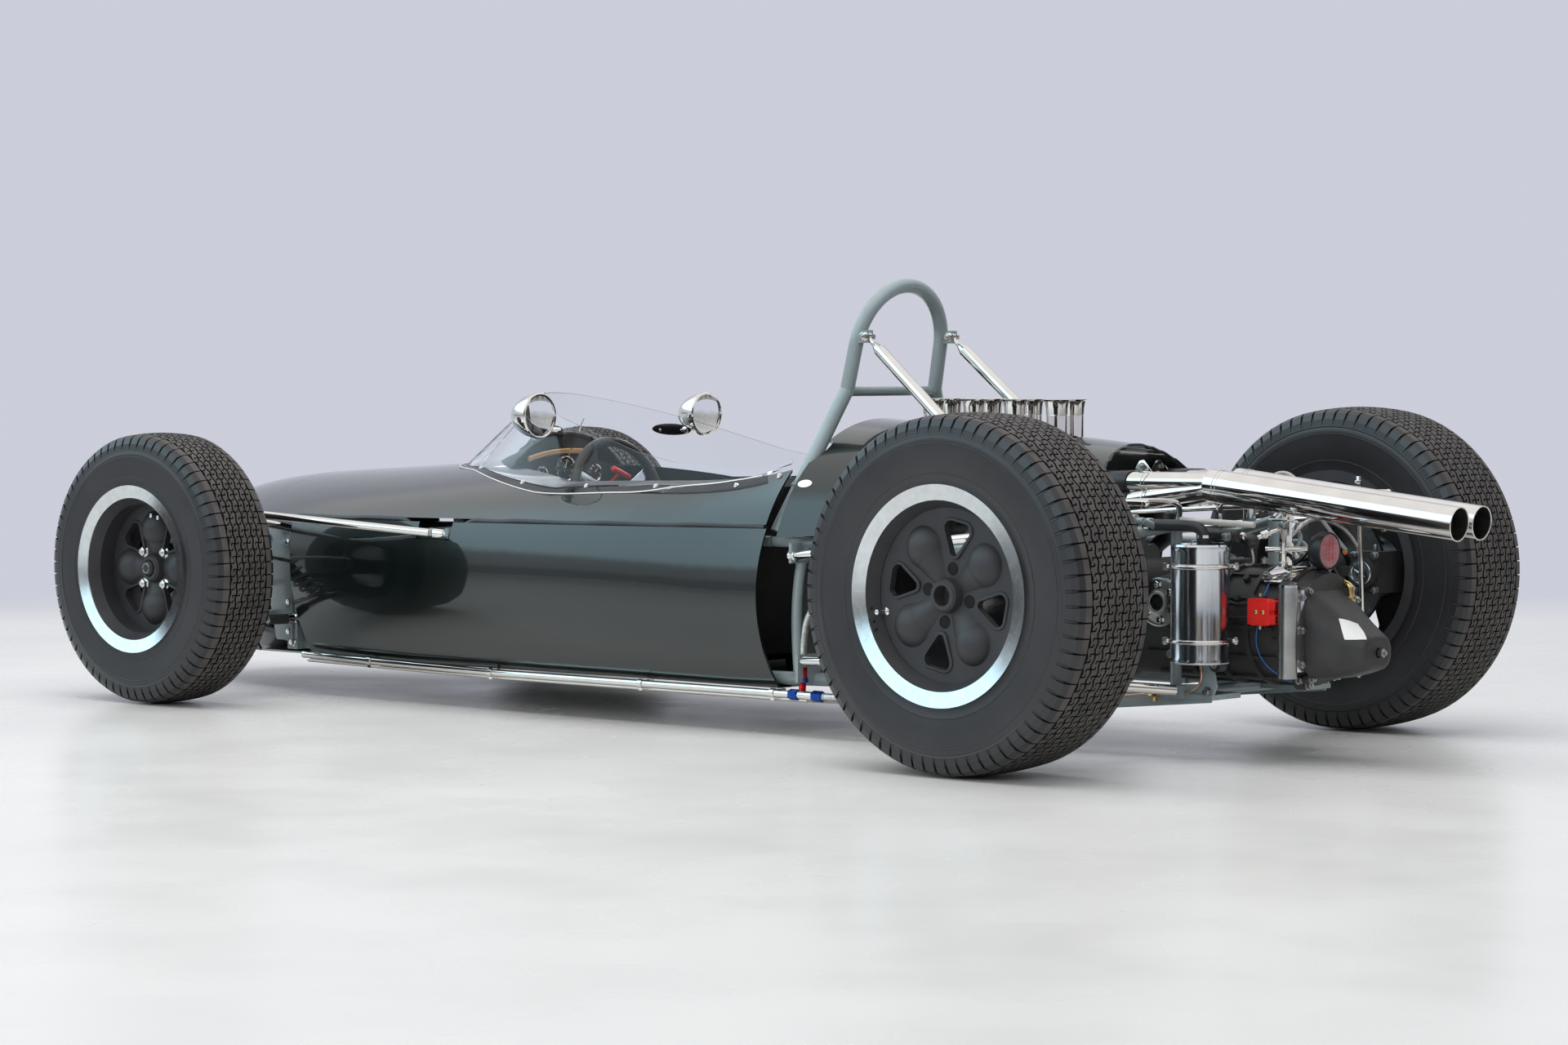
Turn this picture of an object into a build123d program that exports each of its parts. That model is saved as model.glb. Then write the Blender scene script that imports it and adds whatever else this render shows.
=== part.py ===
from build123d import *
import os
from math import cos, radians, sin

# An open wheel single seat racing car of the middle 1960s, in millimetres.
# The drawing frame has X forward from the rear axle, Y to the driver's left and Z up from the floor.
# Every piece is moved by MID_LENGTH_X when it is written, so that the stored origin is on the floor
# below the middle of the overall length.

# Overall layout
WHEELBASE = 2311
TRACK_FRONT = 1309
TRACK_REAR = 1253
NOSE_TIP_X = 2900
PIPE_END_X = -660
MID_LENGTH_X = (NOSE_TIP_X + PIPE_END_X) / 2

# Clearances
SEAT_GAP = 0.3          # between pieces that seat on each other
RUNNING_GAP = 0.4       # radial, round a shaft that turns in a housing
PANEL_GAP = 8           # between body panels
SKIN = 4                # body panel thickness

# Tyres and rims: the columns are tyre radius, tyre width, rim flange radius, bead seat radius,
# polished lip inner radius, rim half width, web depth and hub face depth below the flange plane
FRONT_WHEEL = dict(tyre_r=300, tyre_w=167, flange_r=185, seat_r=169, lip_r=157, half_w=90,
                   web_depth=72, hub_depth=53, clock=45)
REAR_WHEEL = dict(tyre_r=332, tyre_w=213, flange_r=203, seat_r=188, lip_r=174, half_w=109,
                  web_depth=36, hub_depth=15, clock=11)
FLANGE_T = 6
BARREL_T = 7
WEB_T = 9
WINDOWS = 4
WINDOW_CORNER_R = 14
WINDOW_APEX_R = 9
WINDOW_HALF_W = 16
WINDOW_LENGTH = 40
WINDOW_BEAD = 6
LUG_CIRCLE_R = 50
LUG_HOLE_R = 9
HUB_BOSS_R = 30
HUB_BORE_R = 19
DOME_R = 46
DOME_SUNK = 20
DOME_FOOT_R = 20
SIDEWALL_T = 12

# Hubs, brakes and shafts
SPINDLE_R = 26
HUB_FLANGE_R = 64
HUB_FLANGE_T = 8
DISC_T = 10
FRONT_DISC_R = 124
REAR_DISC_R = 134
REAR_DISC_Y = -108
REAR_SPINDLE_END_Y = -176
FRONT_DISC_Y = -34
SHAFT_R = 14
YOKE_R = 42
KINGPIN_Y = TRACK_FRONT / 2 - 106.5
UPRIGHT_Y = TRACK_REAR / 2 + REAR_DISC_Y - 37
BULKHEAD_X = WHEELBASE - 35
AXLE_Z_FRONT = FRONT_WHEEL["tyre_r"]
AXLE_Z_REAR = REAR_WHEEL["tyre_r"]

# Body sections: station, half width at the floor, widest half width and its height,
# half width and height at the split line, floor height, crown height
BODY_SECTIONS = (
    (780, 300, 368, 255, 335, 424, 95, 640),
    (1150, 305, 378, 255, 352, 418, 95, 585),
    (1600, 305, 380, 252, 358, 412, 92, 558),
    (2000, 298, 362, 248, 345, 408, 90, 527),
    (2350, 275, 325, 245, 312, 402, 88, 506),
    (2660, 212, 258, 250, 243, 372, 98, 473),
    (NOSE_TIP_X, 80, 180, 254, 152, 330, 156, 383),
)
NOSE_SPLIT_X = 2440
PANEL_FRONT_X = 2250
PANEL_REAR_X = 740
COWL_REAR_X = 785
SPLIT_Z_REAR = 424
SPLIT_Z_FRONT = 404
FLOOR_HALF_W = 262

# Cockpit
OPENING_FRONT_X = 1730
OPENING_FRONT_HALF_W = 150
OPENING_WIDE_X = 1420
OPENING_HALF_W = 254
OPENING_R = 60
SCREEN_T = 3
HOOD_REAR_X = 1690
HOOD_TOP_Z = 600
HOOD_R = 236
DASH_X = 1700
# Screen levels: height, foremost point, cheek, waist and rear half width of the plan outline
SCREEN_REAR_X = 800
SCREEN_LEVELS = (
    (460, 2048, (1899, 150), (1450, 292), 290),
    (700, 1724, (1675, 80), (1450, 150), 152),
)
SCREEN_TOP_EDGE = ((2100, 400), (2100, 720), (1745, 690), (1565, 646), (1443, 616), (1250, 566),
                   (1130, 546), (940, 540), (860, 546), (800, 556), (780, 400))

# Roll hoop: half width and height along the leaning leg, from foot to crown
HOOP_R = 15
HOOP_FOOT = (285, 410.3)
HOOP_KNEE = (139, 700)
HOOP_SHOULDER = (134, 790)
HOOP_HOLE_R = 21
HOOP_CROWN_Z = 913
HOOP_KNEE_X = 737
HOOP_LEAN = 0.21
STAY_R = 12.5
STAY_TOP_Z = 808
STAY_FOOT = (246, 151, 448)

# Chassis tubes
RAIL_R = 14
RAIL_Z = 114
TUBE_R = 11
PIPE_R = 8
CLIP_STATIONS = (780, 1150, 1600, 2000)
LOW_PIPE = ((2230, 312, 92), (1600, 322, 84), (700, 316, 86))
HIGH_PIPE = ((2230, 296, 80), (1600, 305, 74), (700, 300, 76))
RADIATOR_X = 2560
PIVOT_R = 6
EYE_R = 12
EYE_LENGTH = 16
FRONT_DAMPER_FOOT = (WHEELBASE + 4, 460, 172)
FRONT_DAMPER_HEAD = (WHEELBASE + 39, 322, 390)
REAR_DAMPER_FOOT = (-54, UPRIGHT_Y, 200)
REAR_DAMPER_HEAD = (-64, 232, 456)
UPPER_RAIL = ((BULKHEAD_X - 1, 277, 352), (1738, 314, 386), (808.3, 290, 392))
LONG_LINK_END = (1704, 352, 381)

# Engine and intakes
ENGINE_FRONT_X = 690
ENGINE_REAR_X = 185
BORE_PITCH = 106
LAST_BORE_X = 270
HEAD_Y = 104
HEAD_Z = 330
HEAD_W = 126
HEAD_H = 164
BANK_OFFSET_X = 22
TRUMPET_Y = 41
TRUMPET_TOP_Z = 681
TRUMPET_FOOT_Z = 500
TRUMPET_R = 20
TRUMPET_LIP_R = 26
# Engine cover: station, half width and height of its lower edge, crown height
COVER_SECTIONS = (
    (77, 150, 536, 592),
    (300, 240, 468, 612),
    (560, 300, 418, 628),
    (758, 332, 404, 640),
)
TRUMPET_SLOT = (236, 645, 78)
TAIL_RAKE = ((77, 536), (106, 593))
TAIL_BULGE = (212, 536, 92)

# Exhausts
PRIMARY_R = 17
TAILPIPE_R = 32
TAILPIPE_WALL = 1.5
BUNDLE_X = 40
MERGE_X = -108
LANE_END_X = 186
LANES = ((236, 408), (230, 446), (194, 466), (192, 430))
BUNDLE = ((118, 524), (118, 488), (80, 524), (80, 488))
BUNDLE_CLOSE = 0.26     # how far the primaries draw together inside the tail pipe

# Gearbox
CASE_R = 108
TANK_R = 56
TANK_AT = (-192, 192)
TANK_RING_Z = (232, 372)
CASE_Z = 255
CASE_REAR_X = -300
COVER_SEAT_X = CASE_REAR_X - 52
# Gearbox cover behind its seat: distance back, width, height, middle height and corner radius
COVER_SHAPE = ((0, 178, 168, 241, 50), (40, 150, 128, 226, 44), (110, 88, 60, 212, 26))
OUTPUT_FACE_Y = 165
LAMP_R = 33
LAMP_Z = 399

# Steering
STEER_ARM = 76
STEER_ARM_Z = 262
STEER_ARM_Y = KINGPIN_Y - 18
WHEEL_GRIP_R = 150
GRIP_R = 12
WHEEL_CENTRE = (1530, 0, 452)
COLUMN_TILT = 14
COLUMN_END = 858

parts_dir = "parts"
os.makedirs(parts_dir, exist_ok=True)


def save(name, *shapes):
    """Writes one node, moved so that the origin is below the middle of the length."""
    solids = [solid for shape in shapes for solid in shape.solids()]
    moved = [Pos(-MID_LENGTH_X, 0, 0) * solid for solid in solids]
    export_step(Compound(moved), os.path.join(parts_dir, name + ".step"))


def both_sides(shape):
    """The shape and its mirror image on the other side of the car."""
    return [shape, mirror(shape, about=Plane.XZ)]


def rod(start, end, radius, end_radius=None):
    """A round bar from start to end, tapered when it has an end radius."""
    start, end = Vector(*start), Vector(*end)
    plane = Plane(origin=start, z_dir=end - start)
    length = (end - start).length
    if end_radius is None:
        return Solid.make_cylinder(radius, length, plane)
    return Solid.make_cone(radius, end_radius, length, plane)


def bent_tube(points, radius, bend):
    """A round tube along straight runs joined by bends of one radius."""
    path = FilletPolyline(*points, radius=bend)
    start = path % 0
    return sweep(Plane(origin=path @ 0, z_dir=start) * Circle(radius), path=path)


def frame_tube(points, radius):
    """Straight tubes from point to point with a ball at every inner corner, fused."""
    tube = rod(points[0], points[1], radius)
    for here, after in zip(points[1:-1], points[2:]):
        tube = tube + Pos(*here) * Sphere(radius) + rod(here, after, radius)
    return tube


def spun(points_and_arcs):
    """A ring about Y from edges drawn with X as radius and Y as place along the axle."""
    return revolve(make_face(points_and_arcs), axis=Axis.Y)


def polygon_ring(points):
    """A ring about Y from a closed outline of (radius, y) corners."""
    return spun(Polyline(*points, close=True))


def mid_box(low, high):
    """A box from its low corner to its high corner."""
    size = [b - a for a, b in zip(low, high)]
    middle = [(a + b) / 2 for a, b in zip(low, high)]
    return Pos(*middle) * Box(*size)


def eye(place):
    """A bush about the X axis that turns on a pivot pin."""
    return Pos(*place) * Rot(0, 90, 0) * Cylinder(EYE_R, EYE_LENGTH)


def eye_bore(place):
    """The room that a pivot pin needs through an eye."""
    return Pos(*place) * Rot(0, 90, 0) * Cylinder(PIVOT_R + SEAT_GAP, EYE_LENGTH + 10)


def pivot_pin(place, from_x):
    """A pin about the X axis from from_x through the eye at place."""
    past = 12 if place[0] > from_x else -12
    return rod((from_x, place[1], place[2]), (place[0] + past, place[1], place[2]), PIVOT_R)


def height_along(points, x):
    """Y and Z of a line through points at this X."""
    for (x0, y0, z0), (x1, y1, z1) in zip(points, points[1:]):
        if min(x0, x1) <= x <= max(x0, x1):
            t = (x - x0) / (x1 - x0)
            return y0 + (y1 - y0) * t, z0 + (z1 - z0) * t


# Wheels


def tyre(w):
    """The casing: beads on the rim seats, bulged walls, rounded shoulders and an open inside."""
    bead_r = w["seat_r"] + SEAT_GAP
    bead_y = w["half_w"] - FLANGE_T - SEAT_GAP
    wall_y = w["tyre_w"] / 2
    rim_r = w["flange_r"] + 3
    shoulder = (w["tyre_r"] - 24, wall_y - 1)
    tread_edge = (w["tyre_r"] - 5, wall_y - 17)
    crown = (w["tyre_r"], 0)
    bulge_r = (rim_r + shoulder[0]) / 2
    toe_y = bead_y - 16

    def flip(p):
        return (p[0], -p[1])

    heel, top_of_bead = (bead_r, bead_y), (rim_r, bead_y)
    bulge = (bulge_r, wall_y + 3)
    inner_low, inner_high = (bead_r + 14, toe_y), (w["tyre_r"] - 20, wall_y - 26)
    inner_bulge = ((inner_low[0] + inner_high[0]) / 2, wall_y - SIDEWALL_T)
    edges = [
        Line((bead_r, toe_y), heel), Line(heel, top_of_bead),
        ThreePointArc(top_of_bead, bulge, shoulder),
        ThreePointArc(shoulder, (w["tyre_r"] - 11, wall_y - 6), tread_edge),
        ThreePointArc(tread_edge, crown, flip(tread_edge)),
        ThreePointArc(flip(tread_edge), (w["tyre_r"] - 11, 6 - wall_y), flip(shoulder)),
        ThreePointArc(flip(shoulder), flip(bulge), flip(top_of_bead)),
        Line(flip(top_of_bead), flip(heel)), Line(flip(heel), (bead_r, -toe_y)),
        Line((bead_r, -toe_y), flip(inner_low)),
        ThreePointArc(flip(inner_low), flip(inner_bulge), flip(inner_high)),
        Line(flip(inner_high), inner_high),
        ThreePointArc(inner_high, inner_bulge, inner_low),
        Line(inner_low, (bead_r, toe_y)),
    ]
    return spun(edges)


def window_prism(corners, grow, low, high):
    """A rounded triangle hull of three circles, drawn out along the axle from low to high."""
    hull = make_hull([Circle(r + grow).moved(Location((x, -z, 0))).edge() for x, z, r in corners])
    return extrude(Plane(origin=(0, high, 0), x_dir=(1, 0, 0), z_dir=(0, -1, 0)) * hull, high - low)


def rim(w):
    """Cast wheel: barrel with a polished lip, a web with four domes between four windows, and a hub."""
    hw, seat, flange, lip = w["half_w"], w["seat_r"], w["flange_r"], w["lip_r"]
    dish = lip - 14
    web_y = hw - w["web_depth"]
    hub_y = hw - w["hub_depth"]
    outer = [(flange, hw), (flange, hw - FLANGE_T), (seat, hw - FLANGE_T), (seat - 1, hw - 34),
             (dish + BARREL_T, hw - 42), (dish + BARREL_T, 42 - hw), (seat - 1, 34 - hw),
             (seat, FLANGE_T - hw), (flange, FLANGE_T - hw), (flange, -hw)]
    inner = [(seat - BARREL_T, -hw), (seat - BARREL_T - 1, 32 - hw), (dish, 44 - hw),
             (dish, hw - 30), (lip, hw - 5)]
    barrel = polygon_ring(outer + inner)
    web = polygon_ring([(HUB_BORE_R, hub_y), (HUB_BOSS_R - 4, hub_y), (HUB_BOSS_R, hub_y - 5),
                        (HUB_BOSS_R + 3, web_y), (dish + 3, web_y + 4), (dish + 3, web_y - WEB_T + 4),
                        (HUB_BOSS_R + 40, web_y - WEB_T), (HUB_BORE_R, web_y - WEB_T)])
    wheel = barrel + web
    dome_at = dish - 56
    sunk = web_y - DOME_SUNK
    dome = Pos(dome_at, sunk, 0) * Sphere(DOME_R)
    dome += rod((HUB_BOSS_R, sunk, 0), (dome_at, sunk, 0), DOME_FOOT_R + 4, DOME_R * 0.99)
    dome = dome & mid_box((HUB_BORE_R + 5, web_y - WEB_T, -80), (dish + 1, web_y + 60, 80))
    big_x = dish - 38
    corners = ((big_x, WINDOW_HALF_W, WINDOW_CORNER_R), (big_x, -WINDOW_HALF_W, WINDOW_CORNER_R),
               (big_x - WINDOW_LENGTH, 0, WINDOW_APEX_R))
    hole = window_prism(corners, 0, web_y - 40, web_y + 60)
    bead = window_prism(corners, WINDOW_BEAD, web_y - WEB_T, web_y + 6)
    bead = fillet(bead.edges().filter_by(lambda e: e.center().Y > web_y + 5), 3)
    lug = Pos(LUG_CIRCLE_R, web_y, 0) * Rot(90, 0, 0) * Cylinder(LUG_HOLE_R, 200)
    for k in range(WINDOWS):
        wheel += Rot(0, -w["clock"] - 360 / WINDOWS * (k + 0.5), 0) * dome
        wheel += Rot(0, -w["clock"] - 360 / WINDOWS * k, 0) * bead
    for k in range(WINDOWS):
        turn = Rot(0, -w["clock"] - 360 / WINDOWS * k, 0)
        wheel = wheel - turn * hole - turn * lug
    return wheel


def hub_with_disc(w, disc_r, disc_y, inner_y, spindle_end_y):
    """Hub flange behind the web, brake disc and spindle, drawn about the wheel centre."""
    web_back = w["half_w"] - w["web_depth"] - WEB_T - SEAT_GAP
    ring = [(0, web_back), (HUB_FLANGE_R, web_back), (HUB_FLANGE_R, web_back - HUB_FLANGE_T),
            (40, web_back - HUB_FLANGE_T), (40, disc_y + DISC_T / 2), (disc_r, disc_y + DISC_T / 2),
            (disc_r, disc_y - DISC_T / 2), (40, disc_y - DISC_T / 2), (40, inner_y),
            (SPINDLE_R, inner_y), (SPINDLE_R, spindle_end_y), (0, spindle_end_y)]
    return polygon_ring(ring)


def universal_joint(y, side):
    """A flanged yoke and cross about the Y axis; side is +1 when the shaft leaves towards +Y."""
    flange = Pos(0, y + side * 4, 0) * Rot(90, 0, 0) * Cylinder(YOKE_R, 8)
    ears = mid_box((-9, min(y, y + side * 44), -26), (9, max(y, y + side * 44), 26))
    cross = Pos(0, y + side * 36, 0) * Cylinder(9, 74)
    cross += Pos(0, y + side * 36, 0) * Rot(0, 90, 0) * Cylinder(9, 74)
    far = mid_box((-26, min(y + side * 28, y + side * 62), -9), (26, max(y + side * 28, y + side * 62), 9))
    return flange + ears + cross + far


def half_shaft(side_y):
    """Rear hub, disc and drive shaft of the left wheel, in the car's frame."""
    hub = hub_with_disc(REAR_WHEEL, REAR_DISC_R, REAR_DISC_Y, REAR_DISC_Y - 12, REAR_SPINDLE_END_Y)
    hub = Pos(0, side_y, AXLE_Z_REAR) * hub
    inner, outer = OUTPUT_FACE_Y + SEAT_GAP, side_y + REAR_SPINDLE_END_Y
    shaft = Pos(0, 0, AXLE_Z_REAR) * (universal_joint(inner, 1) + universal_joint(outer, -1))
    shaft += rod((0, inner + 40, AXLE_Z_REAR), (0, outer - 40, AXLE_Z_REAR), SHAFT_R)
    return hub + shaft


def wheels():
    """Tyres, rims, hubs and shafts at all four corners."""
    corners = (("front", FRONT_WHEEL, WHEELBASE, TRACK_FRONT / 2),
               ("rear", REAR_WHEEL, 0, TRACK_REAR / 2))
    for end, w, x, y in corners:
        place = Pos(x, y, w["tyre_r"])
        tyre_l, tyre_r = both_sides(place * tyre(w))
        rim_l, rim_r = both_sides(place * rim(w))
        if end == "front":
            hub = place * hub_with_disc(w, FRONT_DISC_R, FRONT_DISC_Y, FRONT_DISC_Y - 12, -98)
        else:
            hub = half_shaft(y)
        hub_l, hub_r = both_sides(hub)
        name = "front_hub" if end == "front" else "drive_shaft"
        for side, pieces in (("left", (tyre_l, rim_l, hub_l)), ("right", (tyre_r, rim_r, hub_r))):
            save(f"{end}_tyre_{side}", pieces[0])
            save(f"{end}_rim_{side}", pieces[1])
            save(f"{name}_{side}", pieces[2])


# Body


def body_section(row, grow):
    """One closed outline of the body, moved outwards by grow: floor, two bulged sides and the crown."""
    x, floor_y, wide_y, wide_z, split_y, split_z, floor_z, crown_z = row
    floor_y, wide_y, split_y = floor_y + grow, wide_y + grow, split_y + grow
    floor_z, crown_z = floor_z - grow, crown_z + grow
    plane = Plane(origin=(x, 0, 0), x_dir=(0, 1, 0), z_dir=(1, 0, 0))
    outline = [
        Line((-floor_y, floor_z), (floor_y, floor_z)),
        ThreePointArc((floor_y, floor_z), (wide_y, wide_z), (split_y, split_z)),
        ThreePointArc((split_y, split_z), (0, crown_z), (-split_y, split_z)),
        ThreePointArc((-split_y, split_z), (-wide_y, wide_z), (-floor_y, floor_z)),
    ]
    return plane * make_face(outline)


def body_form(grow):
    """The whole body from cockpit to nose as a solid, grown or shrunk all round."""
    return loft([body_section(row, grow) for row in BODY_SECTIONS])


def split_height(x):
    """Height of the line where cowl and side panels meet."""
    share = (x - PANEL_REAR_X) / (NOSE_SPLIT_X - PANEL_REAR_X)
    return SPLIT_Z_REAR + (SPLIT_Z_FRONT - SPLIT_Z_REAR) * share


def body_panels():
    """Nose cone, cowl, side panels and floor, cut from one skin."""
    skin = body_form(0) - body_form(-SKIN)
    far = 900
    nose = skin & mid_box((NOSE_SPLIT_X, -far, 0), (NOSE_TIP_X + 5, far, far))
    z_rear, z_front = split_height(COWL_REAR_X), split_height(NOSE_SPLIT_X)
    half = PANEL_GAP / 2
    front_x = NOSE_SPLIT_X - SEAT_GAP
    cowl_side = Plane.XZ * make_face(Polyline(
        (COWL_REAR_X, z_rear + half), (front_x, z_front + half), (front_x, far),
        (COWL_REAR_X - 5, far), close=True))
    cowl = skin & extrude(cowl_side, far, both=True)
    opening = make_face(Polyline(
        (COWL_REAR_X - 60, -OPENING_HALF_W), (OPENING_WIDE_X, -OPENING_HALF_W),
        (OPENING_FRONT_X, -OPENING_FRONT_HALF_W), (OPENING_FRONT_X, OPENING_FRONT_HALF_W),
        (OPENING_WIDE_X, OPENING_HALF_W), (COWL_REAR_X - 60, OPENING_HALF_W), close=True))
    corners = opening.vertices().filter_by(lambda v: v.X > OPENING_FRONT_X - 1)
    opening = fillet(corners, OPENING_R)
    cowl -= extrude(Pos(0, 0, z_rear + 30) * opening, 300)
    panel_side = Plane.XZ * make_face(Polyline(
        (PANEL_REAR_X, 0), (PANEL_FRONT_X - 30, 0), (PANEL_FRONT_X, split_height(PANEL_FRONT_X) - half),
        (PANEL_REAR_X, split_height(PANEL_REAR_X) - half), close=True))
    sides = skin & extrude(panel_side, far, both=True)
    notch = Pos(1738, 360, 392) * Box(110, 120, 44)
    left = (sides & mid_box((0, FLOOR_HALF_W + SEAT_GAP, 0), (far * 3, far, far))) - notch
    floor = skin & mid_box((PANEL_REAR_X, -FLOOR_HALF_W, 0), (NOSE_SPLIT_X - SEAT_GAP, FLOOR_HALF_W, 110))
    left, right = both_sides(left)
    save("nose_cone", nose)
    cowl -= hoop_clearance()
    save("upper_cowl", cowl)
    save("side_panel_left", left)
    save("side_panel_right", right)
    save("undertray", floor)


def screen_outline(nose_x, cheek, waist, rear_x, rear_y, inset):
    """The five edges of the clear screen's plan outline, moved inwards by inset."""
    (cx, cy), (wx, wy) = cheek, waist
    cx, cy, wy, rear_y = cx - inset, cy - inset * 0.6, wy - inset, rear_y - inset
    nose_x = nose_x - inset * 1.5
    mid_x, mid_y = (wx + cx) / 2 + 8, (wy + cy) / 2 + 20
    return [Line((rear_x, rear_y), (wx, wy)),
            ThreePointArc((wx, wy), (mid_x, mid_y), (cx, cy)),
            ThreePointArc((cx, cy), (nose_x, 0), (cx, -cy)),
            ThreePointArc((cx, -cy), (mid_x, -mid_y), (wx, -wy)),
            Line((wx, -wy), (rear_x, -rear_y))]


def screen_block(inset):
    """The solid inside the screen's outline between its low and its high level."""
    faces = []
    for z, nose_x, cheek, waist, rear_y in SCREEN_LEVELS:
        edges = screen_outline(nose_x, cheek, waist, SCREEN_REAR_X, rear_y, inset)
        edges.append(Line((SCREEN_REAR_X, inset - rear_y), (SCREEN_REAR_X, rear_y - inset)))
        faces.append(Plane(origin=(0, 0, z)) * make_face(edges))
    return loft(faces, ruled=True)


def windscreen(clear_of):
    """The wrap round clear screen, seated on the cowl and cut to its falling top edge."""
    sheet = screen_block(0) - Pos(-1, 0, 0) * screen_block(SCREEN_T)
    top_edge = Plane.XZ * make_face(Polyline(*SCREEN_TOP_EDGE, close=True))
    sheet = sheet & extrude(top_edge, 400, both=True)
    sheet = sheet - clear_of
    sheet = sheet - mid_box((SCREEN_REAR_X - 10, -400, 300), (SCREEN_REAR_X + 1, 400, 900))
    save("windscreen", max(sheet.solids(), key=lambda s: s.volume))


def dashboard(clear_of):
    """Hood over the dials, and the dial panel across the front of the cockpit."""
    plane = Plane(origin=(HOOD_REAR_X, 0, HOOD_TOP_Z - HOOD_R), z_dir=(1, 0, 0))
    hood = Solid.make_cone(HOOD_R, HOOD_R - 90, 250, plane)
    hood -= Solid.make_cone(HOOD_R - SKIN, HOOD_R - 90 - SKIN, 250, plane)
    hood = (hood & screen_block(SCREEN_T + 2)) - clear_of
    hood = hood & mid_box((HOOD_REAR_X, -400, 400), (2100, 400, 800))
    hood = max(hood.solids(), key=lambda s: s.volume)
    save("dash_hood", hood)
    inside = body_form(-SKIN - 3 * SEAT_GAP)
    panel = inside & mid_box((DASH_X, -400, 425), (DASH_X + 4, 400, 800))
    arch = rod((DASH_X, 0, HOOD_TOP_Z - HOOD_R), (DASH_X + 4, 0, HOOD_TOP_Z - HOOD_R), HOOD_R - SKIN - 6)
    arch_y = OPENING_FRONT_HALF_W - 45
    panel += arch & mid_box((DASH_X, -arch_y, 480), (DASH_X + 4, arch_y, 800))
    dials = ((0, 515, 36), (70, 494, 24), (-70, 494, 24), (126, 466, 20), (-126, 466, 20))
    for y, z, r in dials:
        panel += rod((DASH_X - 8, y, z), (DASH_X + 20, y, z), r)
    panel -= Pos(DASH_X, 0, 400) * Box(30, 60, 60)
    save("dash_panel", panel)


def seat():
    """A one piece bucket seat with raised sides."""
    bottom = [(1470, 196), (1400, 132), (1110, 116), (1010, 140), (850, 500)]
    top = [(862, 516), (960, 420), (1080, 262), (1400, 226), (1478, 214)]
    form = extrude(Plane.XZ * make_face(Polyline(*bottom, *top, close=True)), 205, both=True)
    hollow = [(1500, 230), (1396, 140), (1112, 124), (1018, 146), (866, 498), (850, 560), (1100, 620),
              (1500, 600)]
    form -= extrude(Plane.XZ * make_face(Polyline(*hollow, close=True)), 197, both=True)
    floor_top = BODY_SECTIONS[1][6] + SKIN
    for s in (1, -1):
        form += mid_box((1140, s * 150 - 10, floor_top + SEAT_GAP), (1160, s * 150 + 10, 122))
    save("seat", form)


def mirrors():
    """Two bullet mirrors, each on a stalk from a foot on the inner face of the screen."""
    centre = (1512, 262, 640)
    shell = revolve(make_face([
        Line((0, 0), (48, 0)), Line((48, 0), (48, 10)), ThreePointArc((48, 10), (32, 62), (0, 84)),
        Line((0, 84), (0, 0))]), axis=Axis.Y)
    left = Pos(*centre) * Rot(0, 0, -90) * shell
    left += rod((1530, 236, 656), (1550, 150, 658), 6) + Pos(1550, 150, 658) * Sphere(6)
    left += rod((1550, 150, 658), (1552, 180, 606), 6)
    foot = Pos(1552, 186, 604) * Rot(29, 0, 0) * Box(46, 30, 26)
    foot = foot & Pos(-1, 0, 0) * screen_block(SCREEN_T + 2 * SEAT_GAP)
    inner = Pos(-1, 0, 0) * screen_block(SCREEN_T + 7)
    foot = foot - inner
    save("mirrors", *both_sides(left + foot))


# Frame


def hoop_point(half_width, z):
    """A point of the leaning hoop at this half width and height."""
    return (HOOP_KNEE_X - HOOP_LEAN * (z - HOOP_KNEE[1]), half_width, z)


def roll_hoop():
    """The hoop with its cross bar and the ears that hold the stays."""
    left = [hoop_point(*p) for p in (HOOP_FOOT, HOOP_KNEE, HOOP_SHOULDER)]
    right = [(x, -y, z) for x, y, z in left]
    arc = ThreePointArc(left[2], hoop_point(0, HOOP_CROWN_Z), right[2])
    hoop = frame_tube(left, HOOP_R) + frame_tube(right, HOOP_R)
    crown = sweep(Plane(origin=left[2], z_dir=arc % 0) * Circle(HOOP_R), path=arc)
    hoop = hoop + crown
    bar = hoop_point(0, HOOP_KNEE[1] - 4)
    hoop += rod((bar[0], HOOP_KNEE[0], bar[2]), (bar[0], -HOOP_KNEE[0], bar[2]), 10)
    for side in (1, -1):
        x, y, z = hoop_point(side * 134, STAY_TOP_Z)
        for offset in (-7, 7):
            hoop += Pos(x - 20, y + offset, z) * Box(30, 3, 26)
    save("roll_hoop", hoop)


def hoop_stays():
    """The two bright struts behind the hoop."""
    x, y, z = hoop_point(134, STAY_TOP_Z)
    eye = Vector(x - 27, y, z)
    foot = Vector(*STAY_FOOT)
    along = (foot - eye).normalized()
    neck_start, neck_end = eye + along * 24, eye + along * 44
    stay = Pos(*eye) * Rot(90, 0, 0) * Cylinder(10, 10.4)
    stay += rod(tuple(eye), tuple(neck_start), 5) + rod(tuple(neck_start), tuple(neck_end), 5, STAY_R)
    stay += rod(tuple(neck_end), tuple(foot), STAY_R) + Pos(*foot) * Sphere(STAY_R)
    save("hoop_stays", *both_sides(stay))


def lower_rails():
    """The bottom chassis tube on each side, from front bulkhead to rear bulkhead."""
    rail = frame_tube([(BULKHEAD_X - SEAT_GAP, 262, RAIL_Z), (1600, 282, RAIL_Z), (800, 276, RAIL_Z),
                       (125, 199, 124)], RAIL_R)
    rail += mid_box((702.8, 258, 112), (710, 328, 168))
    save("lower_rails", *both_sides(rail))


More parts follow.
